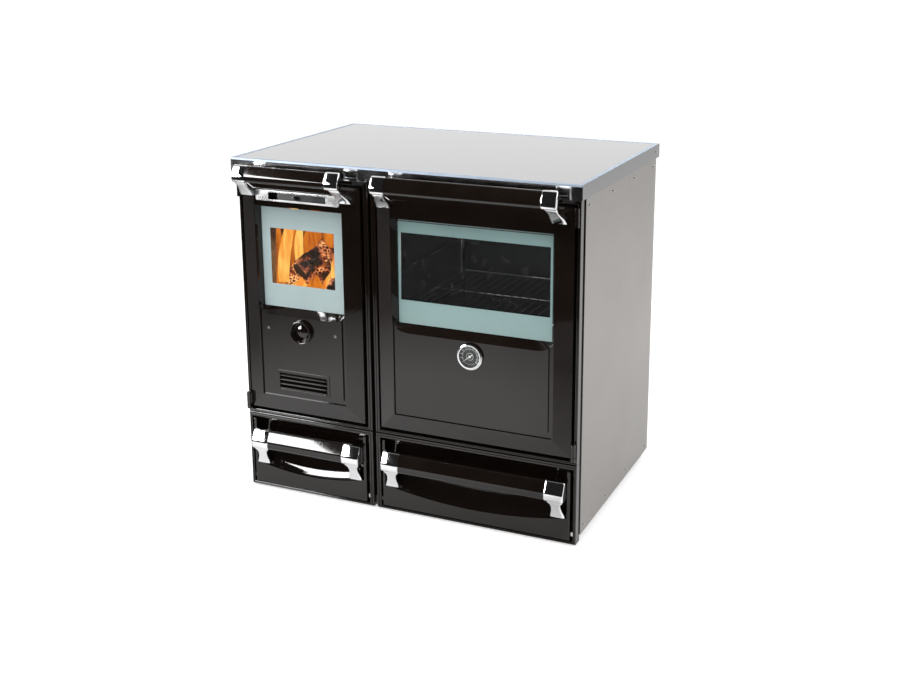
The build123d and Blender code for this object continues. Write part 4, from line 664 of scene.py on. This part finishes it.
@dataclass
class GlazedDoor:
    """Door with a printed pane and a handle, named by what it closes."""

    owner: str
    window_x: Span
    window_z: Span
    border: Colour

    def build(self) -> None:
        """Dress what both doors have, make the handle and print the pane."""
        dress(ENAMEL, f"{self.owner}_door_panel", f"{self.owner}_handle_bar", f"{self.owner}_hinge_knuckles")
        dress(CHROME, f"{self.owner}_handle_brackets")
        dress(LINER, f"{self.owner}_door_liner", f"{self.owner}_glass_clips")
        dress(ROPE, f"{self.owner}_door_gasket")
        dress(GLASS, f"{self.owner}_glass")
        DoorHandle(self.owner, f"{self.owner}_door", f"{self.owner}_door_panel").build()
        PaneBorder(self.owner, self.window_x, self.window_z, self.border).build()


@dataclass
class FireboxDoor(GlazedDoor):
    """Firebox door with its air controls."""

    owner: str = "firebox"
    window_x: Span = (-0.3535, -0.178)
    window_z: Span = (0.5435, 0.682)
    border: Colour = (0.60, 0.74, 0.75)

    def build(self) -> None:
        """Dress the door with its knob, grille, plate and screws."""
        super().build()
        dress(ENAMEL, "air_knob", "vent_grille")
        dress(LINER, "air_shutter")
        dress(BrightMetal("plate_chrome", roughness=(0.24, 0.36)), "air_plate")
        dress(BrushedSheet("slider_steel", Grain.ALONG_X, (0.09, 0.09, 0.09), (0.2, 0.32)),
              "air_slider")
        dress(BrightMetal("door_screws", (0.3, 0.3, 0.3), (0.2, 0.35)), "firebox_door_screws")


@dataclass
class DialMarks:
    """Printed ring of ticks and plain numbers, with a small ring round the needle's hub."""

    sweep: float = 256.0
    first: float = 128.0  # degrees anticlockwise from the top
    steps: int = 10
    fine_steps: int = 5
    tick: tuple[Span, float] = ((0.0165, 0.0190), 0.0007)  # reach from the hub, and width
    fine_tick: tuple[Span, float] = ((0.0175, 0.0190), 0.00035)
    scale_ring: Span = (0.0190, 0.0193)
    ring_sides: int = 64
    number_radius: float = 0.0225
    number_size: float = 0.0040
    number_step: int = 50
    hub_ring: Span = (0.0080, 0.0086)
    lift: float = 0.0001

    def turn(self, share: float) -> Matrix:
        """Turn of the dial from its top to a share of the scale."""
        return Matrix.Rotation(math.radians(self.sweep * share - self.first), 3, "Y")

    def build(self) -> None:
        """Make the marks as one thin print on the dial."""
        low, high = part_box("thermometer_dial")
        centre = Vector(((low.x + high.x) / 2, low.y, (low.z + high.z) / 2))
        mesh = bmesh.new()
        count = self.steps * self.fine_steps
        for index in range(count + 1):
            reach, wide = self.fine_tick if index % self.fine_steps else self.tick
            tick = slab(mesh, (-wide / 2, wide / 2), (-self.lift, 0.0), reach)
            bmesh.ops.rotate(mesh, verts=tick, matrix=self.turn(index / count))
            bmesh.ops.translate(mesh, verts=tick, vec=centre)
        for reach in (self.hub_ring, self.scale_ring):
            self.ring(mesh, centre, reach)
        for step in range(self.steps + 1):
            self.number(mesh, str(step * self.number_step),
                        centre + self.turn(step / self.steps) @ Vector((0.0, 0.0, self.number_radius)))
        piece(mesh, "thermometer_marks", "oven_door", "dial", Paint("dial_marks", (0.82, 0.82, 0.80)),
              smooth=False)

    def ring(self, mesh: Mesh, centre: Vector, reach: Span) -> None:
        """Add a thin printed ring."""
        facing = Matrix.Translation(centre) @ Matrix.Rotation(math.pi / 2, 4, "X")
        outer, inner = (bmesh.ops.create_circle(mesh, segments=self.ring_sides, radius=radius,
                                                matrix=facing)["verts"] for radius in reversed(reach))
        faces = bmesh.ops.bridge_loops(mesh, edges=edges_of(outer + inner))["faces"]
        lifted = bmesh.ops.extrude_face_region(mesh, geom=faces)["geom"]
        bmesh.ops.translate(mesh, verts=[v for v in lifted if isinstance(v, Vert)],
                            vec=(0, -self.lift, 0))

    def number(self, mesh: Mesh, text: str, place: Vector) -> None:
        """Add one number, upright, centred on a place."""
        curve = bpy.data.curves.new("number", "FONT")
        curve.body, curve.size, curve.extrude = text, self.number_size, self.lift / 2
        curve.align_x = curve.align_y = "CENTER"
        curve.resolution_u = 2
        holder = bpy.data.objects.new("number", curve)
        flat = bpy.data.meshes.new_from_object(holder)
        flat.transform(Matrix.Translation(place - Vector((0, self.lift / 2, 0)))
                       @ Matrix.Rotation(math.pi / 2, 4, "X"))
        mesh.from_mesh(flat)
        bpy.data.objects.remove(holder)
        bpy.data.curves.remove(curve)
        bpy.data.meshes.remove(flat)


@dataclass
class OvenDoor(GlazedDoor):
    """Oven door with its thermometer."""

    owner: str = "oven"
    window_x: Span = (-0.002, 0.368)
    window_z: Span = (0.542, 0.703)
    border: Colour = (0.35, 0.52, 0.51)

    def build(self) -> None:
        """Dress the door with its thermometer and mark the dial."""
        super().build()
        dress(CHROME, "thermometer_case")
        dress(GLASS, "thermometer_lens")
        dress(Paint("dial_face", (0.015, 0.015, 0.016)), "thermometer_dial")
        dress(Paint("needle_paint", (0.85, 0.85, 0.82)), "thermometer_needle")
        DialMarks().build()


@dataclass
class Handle:
    """Bar between two cast brackets: its broad upper face leans back over a narrow upright band.

    The brackets are closed caps on the bar's ends, each with an arm that narrows and then flares to its foot.
    """

    owner: str
    body: str
    leaf: str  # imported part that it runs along
    inset: float  # of a cap's middle from the edge of the leaf
    centre: Span  # y and z of the bar's middle
    half: Span  # half depth and half height of the bar
    cap_length: float
    foot_shift: float
    arm: Sequence[Level]  # drop, run back, width and depth, from the middle down
    cap_wall: float = 0.0013
    socket: float = 0.015
    bar_edge: float = 0.0035
    cap_edge: float = 0.0045
    edge_steps: int = 4
    outline: Sequence[Span] = ((0.45, 1.0), (-0.15, 0.98), (-1.0, -0.1), (-1.0, -0.76), (-0.6, -1.0),
                               (0.7, -1.0), (0.85, -0.4), (0.85, 0.65))  # of the section, by its half sizes
    arm_sides: int = 32
    arm_corner: float = 0.4  # power that squares the arm's round outline
    crease: float = math.radians(40)

    def build(self) -> None:
        """Make the bar and its two brackets."""
        low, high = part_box(self.leaf)
        caps = (low.x + self.inset, high.x - self.inset)
        inner = self.cap_length / 2 - self.socket
        bar = bmesh.new()
        self.rod(bar, (caps[0] + inner, caps[1] - inner), 0.0, self.bar_edge, closed=False)
        brackets = bmesh.new()
        for side, middle in zip((-1, 1), caps):
            self.rod(brackets, (middle - self.cap_length / 2, middle + self.cap_length / 2), self.cap_wall,
                     self.cap_edge, closed=True)
            self.limb(brackets, side, middle)
        for mesh, name, slot, finish, packed in (
            (bar, "bar_rounded", "enamel", ENAMEL, "handle_bar"),
            (brackets, "brackets_flared", "chrome", CHROME, "handle_brackets"),
        ):
            made = piece(mesh, f"{self.owner}_{name}", self.body, slot, finish)
            made.data.set_sharp_from_angle(angle=self.crease)
            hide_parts(f"{self.owner}_{packed}")

    def rod(self, mesh: Mesh, span: Span, wall: float, edge: float, closed: bool) -> None:
        """Add a length of the bar's section, or of a cap round it.

        Args:
            mesh: The mesh to add to.
            span: Its limits along x.
            wall: How far its section stands out from the bar's.
            edge: Radius of its rounded edges.
            closed: Whether its ends are rounded too.
        """
        corners = [mesh.verts.new((span[0], self.centre[0] + y * (self.half[0] + wall),
                                   self.centre[1] + z * (self.half[1] + wall))) for y, z in self.outline]
        end = mesh.faces.new(corners)
        grown = bmesh.ops.extrude_face_region(mesh, geom=[end], use_keep_orig=True)["geom"]
        moved = [item for item in grown if isinstance(item, Vert)]
        bmesh.ops.translate(mesh, verts=moved, vec=(span[1] - span[0], 0.0, 0.0))
        edges = [edge for edge in edges_of(corners + moved)
                 if closed or edge.verts[0].co.x != edge.verts[1].co.x]
        bmesh.ops.recalc_face_normals(mesh, faces=mesh.faces)
        bmesh.ops.bevel(mesh, geom=edges, offset=edge, segments=self.edge_steps, profile=0.5,
                        affect="EDGES", material=-1)

    def limb(self, mesh: Mesh, side: int, middle: float) -> None:
        """Add one arm by extruding a rounded outline level by level."""
        verts = bmesh.ops.create_circle(mesh, segments=self.arm_sides, radius=0.5, cap_ends=True)["verts"]
        ring = edges_of(verts)
        for vertex in verts:
            for axis in range(2):
                twice = vertex.co[axis] * 2
                vertex.co[axis] = 0.5 * math.copysign(abs(twice) ** self.arm_corner, twice)
        shape = [vertex.co.copy() for vertex in verts]
        first, last = self.arm[0][0], self.arm[-1][0]
        for drop, run, across, deep in self.arm:
            if drop > first:
                grown, ring = grow(mesh, ring)
                verts = [next(edge.other_vert(vertex) for edge in vertex.link_edges
                              if edge.other_vert(vertex) in grown) for vertex in verts]
            share = (drop - first) / (last - first)
            place = Vector((middle + side * self.foot_shift * share, self.centre[0] + run,
                            self.centre[1] - drop))
            for vertex, point in zip(verts, shape):
                vertex.co = place + Vector((point.x * across, point.y * deep, 0.0))
        mesh.faces.new(verts)
        bmesh.ops.recalc_face_normals(mesh, faces=mesh.faces)


@dataclass
class DoorHandle(Handle):
    """Handle along the top of a door."""

    inset: float = 0.0365
    centre: Span = (-0.3166, 0.8225)
    half: Span = (0.0120, 0.0195)
    cap_length: float = 0.037
    foot_shift: float = 0.009
    arm: Sequence[Level] = (
        (0.010, 0.000, 0.034, 0.018), (0.022, 0.003, 0.030, 0.012), (0.030, 0.012, 0.025, 0.013),
        (0.037, 0.022, 0.027, 0.018), (0.047, 0.035, 0.034, 0.022), (0.058, 0.045, 0.036, 0.024))


@dataclass
class DrawerHandle(Handle):
    """Handle across a drawer."""

    inset: float = 0.032
    centre: Span = (-0.270, 0.1370)
    half: Span = (0.0150, 0.0230)
    cap_length: float = 0.048
    foot_shift: float = 0.004
    arm: Sequence[Level] = (
        (0.016, 0.000, 0.044, 0.022), (0.026, 0.000, 0.040, 0.018), (0.032, 0.002, 0.029, 0.014),
        (0.040, 0.005, 0.024, 0.013), (0.050, 0.009, 0.026, 0.015), (0.059, 0.013, 0.032, 0.017),
        (0.067, 0.015, 0.036, 0.020))


@dataclass
class Drawer:
    """One drawer, named by its body."""

    name: str

    def build(self) -> None:
        """Dress the drawer and make its handle."""
        dress(ENAMEL, f"{self.name}_front", f"{self.name}_handle_bar")
        dress(CHROME, f"{self.name}_handle_brackets")
        dress(ZincSheet("drawer_sheet"), f"{self.name}_box")
        DrawerHandle(self.name, self.name, f"{self.name}_front").build()


@dataclass
class Log:
    """One burning log: from its cut end to its far end."""

    name: str
    near: Point
    far: Point
    radius: float
    seed: int
    taper: float = 0.9
    flatness: float = 0.86
    rim: float = 0.12  # width of the cut end's rim, by the radius
    hollow: float = 0.05  # depth of the cut end, by the radius
    rough: float = 0.16
    sides: int = 28
    rings: int = 22

    def build(self, bark: Finish, cut: Finish) -> None:
        """Make the log: a round bar with a chipped skin and a hollowed cut end."""
        start, end = Vector(self.near), Vector(self.far)
        way = end - start
        mesh = bmesh.new()
        bmesh.ops.create_cone(mesh, cap_ends=True, segments=self.sides, radius1=self.radius,
                              radius2=self.radius * self.taper, depth=way.length)
        long_edges = [edge for edge in mesh.edges if edge.calc_length() > way.length / 2]
        bmesh.ops.subdivide_edges(mesh, edges=long_edges, cuts=self.rings, use_grid_fill=True)
        cap = [face for face in mesh.faces if face.normal.z < -0.9]
        bmesh.ops.inset_region(mesh, faces=cap, thickness=self.radius * self.rim,
                               depth=-self.radius * self.hollow)
        for face in cap:
            face.material_index = 1
        shift = Vector((self.seed * 7.3, self.seed * 1.7, 0.0))
        for vertex in mesh.verts:
            at = vertex.co / self.radius
            spread = 1.0 + self.rough * (noise.noise(at * 1.1 + shift) + 0.6 * noise.noise(at * 3.1 + shift))
            vertex.co.x *= spread
            vertex.co.y *= spread * self.flatness
        turn = way.to_track_quat("Z", "Y").to_matrix().to_4x4()
        bmesh.ops.transform(mesh, matrix=Matrix.Translation((start + end) / 2) @ turn, verts=mesh.verts)
        piece(mesh, self.name, "root", "firebrick", bark, cut)


@dataclass
class FlameTongue:
    """One tongue of flame: a flattened tube that sways and narrows to its tip."""

    name: str
    foot: Point
    height: float
    wide: float
    lean: float
    seed: int
    sway: float = 0.006
    levels: int = 14
    sides: int = 14
    deep: float = 0.35

    def build(self, glow: Finish) -> None:
        """Make the tongue by extruding its ring level by level."""
        mesh = bmesh.new()
        verts = bmesh.ops.create_circle(mesh, segments=self.sides, radius=self.wide / 2)["verts"]
        bmesh.ops.scale(mesh, verts=verts, vec=(1.0, self.deep, 1.0))
        bmesh.ops.translate(mesh, verts=verts, vec=self.foot)
        ring = edges_of(verts)
        for level in range(1, self.levels + 1):
            share, before = level / self.levels, (level - 1) / self.levels
            verts, ring = grow(mesh, ring)
            shift = self.bend(share) - self.bend(before)
            bmesh.ops.translate(mesh, verts=verts, vec=(*shift, self.height / self.levels))
            size = self.girth(share) / self.girth(before)
            middle = sum((vertex.co for vertex in verts), Vector()) / len(verts)
            bmesh.ops.scale(mesh, verts=verts, vec=(size, size, 1.0), space=Matrix.Translation(-middle))
        bmesh.ops.pointmerge(mesh, verts=verts, merge_co=middle)
        bmesh.ops.recalc_face_normals(mesh, faces=mesh.faces)
        piece(mesh, self.name, "root", "firebrick", glow)

    def girth(self, share: float) -> float:
        """Relative width at a share of the height: swelling first, then drawn out to a point."""
        return (0.7 + 1.3 * share * (1 - share)) * (1.02 - share) ** 0.55

    def bend(self, share: float) -> Vector:
        """Sideways place of the tongue's middle at a share of its height."""
        wave = math.sin(share * 5.0 + self.seed * 1.9) * self.sway * share
        return Vector((self.lean * share * share + wave, 0.4 * self.sway * math.sin(share * 4.0 + self.seed)))


@dataclass
class Fire:
    """Logs, embers and flames on the grate."""

    coals: int = 90
    bed_x: Span = (-0.372, -0.150)
    bed_y: Span = (-0.196, 0.150)
    coal_size: Span = (0.008, 0.017)
    coal_shape: Sequence[Span] = ((0.8, 1.3), (0.7, 1.0), (0.45, 0.7))  # stretch along each axis
    coal_lift: float = 0.55  # of a coal's middle over the grate, by its radius
    coal_rough: float = 0.003
    coal_grain: float = 130.0
    clearance: float = 0.0002
    seed: int = 11

    def build(self) -> None:
        """Make the whole fire."""
        bark = Char("burning_bark", 120.0, 1.7)
        cut = Casting("charred_end", (0.02, 0.016, 0.014), (0.45, 0.8), grain=0.001, scale=160.0)
        for burning in (
            Log("log_front", (-0.3235, -0.176, 0.556), (-0.262, -0.040, 0.640), 0.028, 1),
            Log("log_low", (-0.392, -0.150, 0.528), (-0.215, -0.020, 0.530), 0.026, 2),
            Log("log_right", (-0.222, -0.176, 0.520), (-0.270, 0.020, 0.640), 0.022, 3),
            Log("log_back", (-0.370, 0.080, 0.535), (-0.160, 0.095, 0.545), 0.034, 4),
        ):
            burning.build(bark, cut)
        self.embers(Char("embers", 70.0, 2.4, (0.25, 0.5)))
        hot = Flame("flame_hot", (1.0, 0.58, 0.13), (0.95, 0.24, 0.012), 1.1, (0.45, 1.0))
        warm = Flame("flame_warm", (0.95, 0.27, 0.014), (0.42, 0.055, 0.003), 0.9, (0.0, 0.9))
        for name, foot, height, wide, lean, seed, glow in (
            ("left_tall", (-0.366, -0.130, 0.500), 0.215, 0.046, -0.004, 1, warm),
            ("left_back", (-0.352, -0.060, 0.500), 0.205, 0.060, 0.010, 2, warm),
            ("left_edge", (-0.377, -0.186, 0.498), 0.215, 0.034, 0.004, 4, warm),
            ("bright", (-0.360, -0.190, 0.530), 0.260, 0.030, 0.075, 3, hot),
            ("bright_twin", (-0.338, -0.150, 0.575), 0.125, 0.022, 0.004, 5, hot),
            ("middle", (-0.318, -0.120, 0.585), 0.095, 0.020, -0.010, 6, warm),
            ("right_top", (-0.262, -0.110, 0.610), 0.070, 0.050, -0.012, 7, warm),
            ("right_side", (-0.226, -0.160, 0.512), 0.125, 0.026, 0.012, 8, hot),
            ("low_front", (-0.318, -0.186, 0.500), 0.045, 0.038, 0.006, 9, hot),
            ("low_right", (-0.280, -0.182, 0.500), 0.052, 0.044, 0.014, 10, warm),
            ("low_far", (-0.250, -0.150, 0.500), 0.070, 0.040, 0.010, 12, hot),
        ):
            FlameTongue(f"flame_{name}", foot, height, wide, lean, seed).build(glow)

    def embers(self, coal: Finish) -> None:
        """Make the bed of coals as one piece of many lumps."""
        dice = random.Random(self.seed)
        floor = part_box("fire_grate")[1].z
        mesh = bmesh.new()
        for _ in range(self.coals):
            radius = dice.uniform(*self.coal_size)
            place = Matrix.Translation((dice.uniform(*self.bed_x), dice.uniform(*self.bed_y),
                                        floor + radius * self.coal_lift))
            spin = Matrix.Rotation(dice.uniform(0, math.tau), 4, (dice.random(), dice.random(), 1.0))
            shape = Matrix.Diagonal((*(dice.uniform(*limits) for limits in self.coal_shape), 1.0))
            bmesh.ops.create_icosphere(mesh, subdivisions=2, radius=radius, matrix=place @ spin @ shape)
        for vertex in mesh.verts:
            vertex.co += vertex.normal * self.coal_rough * noise.noise(vertex.co * self.coal_grain)
            vertex.co.z = max(vertex.co.z, floor + self.clearance)
        piece(mesh, "ember_bed", "root", "firebrick", coal)


@dataclass
class Interior:
    """What the doors and drawers close on: the firebox, the oven and the smoke path."""

    def build(self) -> None:
        """Dress the inner parts and light the fire."""
        dress(Firebrick("firebrick"), "firebricks")
        dress(IRON, "fire_grate", "smoke_baffle", "flue_collar")
        dress(Enamel("oven_enamel", (0.02, 0.02, 0.022), 0.00006, 200.0, (0.16, 0.3)), "oven_box")
        dress(CHROME, "oven_runners", "oven_rack")
        Fire().build()


# -------------------- the studio
@dataclass
class SoftBox:
    """Rectangular soft lamp: its middle, the point it faces, its width and height, and its watts."""

    name: str
    place: Sequence[float]
    aim: Sequence[float]
    size: Span
    power: float

    def build(self) -> bpy.types.Object:
        """Hang the lamp."""
        data = bpy.data.lights.new(self.name, "AREA")
        data.shape, data.energy = "RECTANGLE", self.power
        data.size, data.size_y = self.size
        lamp = bpy.data.objects.new(self.name, data)
        lamp.location = self.place
        lamp.rotation_euler = (Vector(self.aim) - Vector(self.place)).to_track_quat("-Z", "Y").to_euler()
        bpy.context.scene.collection.objects.link(lamp)
        return lamp


@dataclass
class Studio:
    """Pale floor, white surround and soft lamps."""

    floor_x: Span = (-70.0, 70.0)
    floor_y: Span = (-1.9, 110.0)
    floor_z: Span = (-0.012, -0.0005)
    ambient: float = 0.62
    dark_front: float = 0.015
    front_edge: Span = (-0.25, 0.15)  # where, from front to back, what is mirrored turns from dark to white
    box_edge: tuple[Point, Point] = ((-1.27, -1.10, 1.876), (-1.50, -2.70, 1.00))
    box_aim: Point = (-0.2, -0.25, 0.1)
    box_width: float = 1.3
    box_radiance: float = 25.0

    def build(self) -> None:
        """Make the floor, the surround and the lamps."""
        mesh = bmesh.new()
        slab(mesh, self.floor_x, self.floor_y, self.floor_z)
        floor = piece(mesh, "floor", "root", "enamel", StudioFloor("floor"), smooth=False)
        self.surround()
        above = SoftBox("overhead_softbox", (-0.55, -1.35, 2.5), (0.0, -0.3, 0.4), (1.7, 0.7), 26.0).build()
        above.visible_glossy = False
        SoftBox("side_softbox", (3.0, 0.6, 2.0), (0.2, 0.0, 0.4), (1.2, 1.6), 24.0).build()
        SoftBox("rear_softbox", (0.2, 3.0, 2.6), (0.0, 0.0, 0.6), (3.0, 1.2), 40.0).build()
        self.mirrored_softbox()

    def mirrored_softbox(self) -> None:
        """Softbox up on the left that glossy faces mirror and that lights nothing else."""
        top, foot = (Vector(point) for point in self.box_edge)
        along = (foot - top).normalized()
        edge = (top + foot) / 2
        facing = Vector(self.box_aim) - edge
        facing = (facing - along * facing.dot(along)).normalized()
        across = along.cross(facing)
        middle = edge - across * self.box_width / 2
        size = (self.box_width, (foot - top).length)
        power = self.box_radiance * math.pi * size[0] * size[1]
        lamp = SoftBox("mirrored_softbox", middle, middle + facing, size, power).build()
        lamp.rotation_euler = Matrix((across, -along, -facing)).transposed().to_euler()
        lamp.visible_diffuse = lamp.visible_camera = False

    def surround(self) -> None:
        """White surround: what metal reflects is white behind the stove and dark in front of it."""
        world = bpy.data.worlds.new("studio")
        bpy.context.scene.world = world
        graph = Graph(world)
        graph.tree.nodes.clear()
        path = graph.node("ShaderNodeLightPath").outputs
        ahead = graph.split(graph.node("ShaderNodeTexCoord").outputs["Generated"])["Y"]
        ambient, shown, mirrored = (
            graph.node("ShaderNodeBackground", {"Color": WHITE, "Strength": strength}).outputs[0]
            for strength in (self.ambient, 1.0, graph.spread(ahead, self.dark_front, 1.0, *self.front_edge)))
        gloss = graph.node("ShaderNodeMixShader", {0: path["Is Glossy Ray"], 1: ambient, 2: mirrored})
        clear = graph.math("MAXIMUM", path["Is Camera Ray"], path["Is Transmission Ray"])
        whole = graph.node("ShaderNodeMixShader", {0: clear, 1: gloss.outputs[0], 2: shown})
        graph.node("ShaderNodeOutputWorld", {"Surface": whole.outputs[0]})


@dataclass
class Viewpoint:
    """Camera that stands where the photograph was taken from, tilted down to keep its shift small."""

    place: Point = (1.289, -2.754, 1.368)
    turn: float = 23.12  # degrees from straight ahead, to the left
    tilt: float = 14.03  # degrees down from level
    lens: float = 50.17
    sensor: float = 36.0
    shift: Span = (-0.0435, -0.10)

    def build(self) -> None:
        """Make the camera and use it."""
        data = bpy.data.cameras.new("camera")
        data.lens, data.sensor_width = self.lens, self.sensor
        data.shift_x, data.shift_y = self.shift
        camera = bpy.data.objects.new("camera", data)
        camera.location = self.place
        camera.rotation_euler = (math.radians(90.0 - self.tilt), 0.0, math.radians(self.turn))
        bpy.context.scene.collection.objects.link(camera)
        bpy.context.scene.camera = camera
        bpy.context.scene.view_settings.view_transform = "Standard"


def main() -> None:
    """Build the scene: camera, finishes, sub-assemblies in order, and the studio."""
    logging.basicConfig(level=logging.INFO, format="%(message)s")
    Viewpoint().build()
    Body().build()
    Worktop().build()
    FireboxDoor().build()
    OvenDoor().build()
    Drawer("left_drawer").build()
    Drawer("right_drawer").build()
    Interior().build()
    Studio().build()


if __name__ == "__main__":
    main()
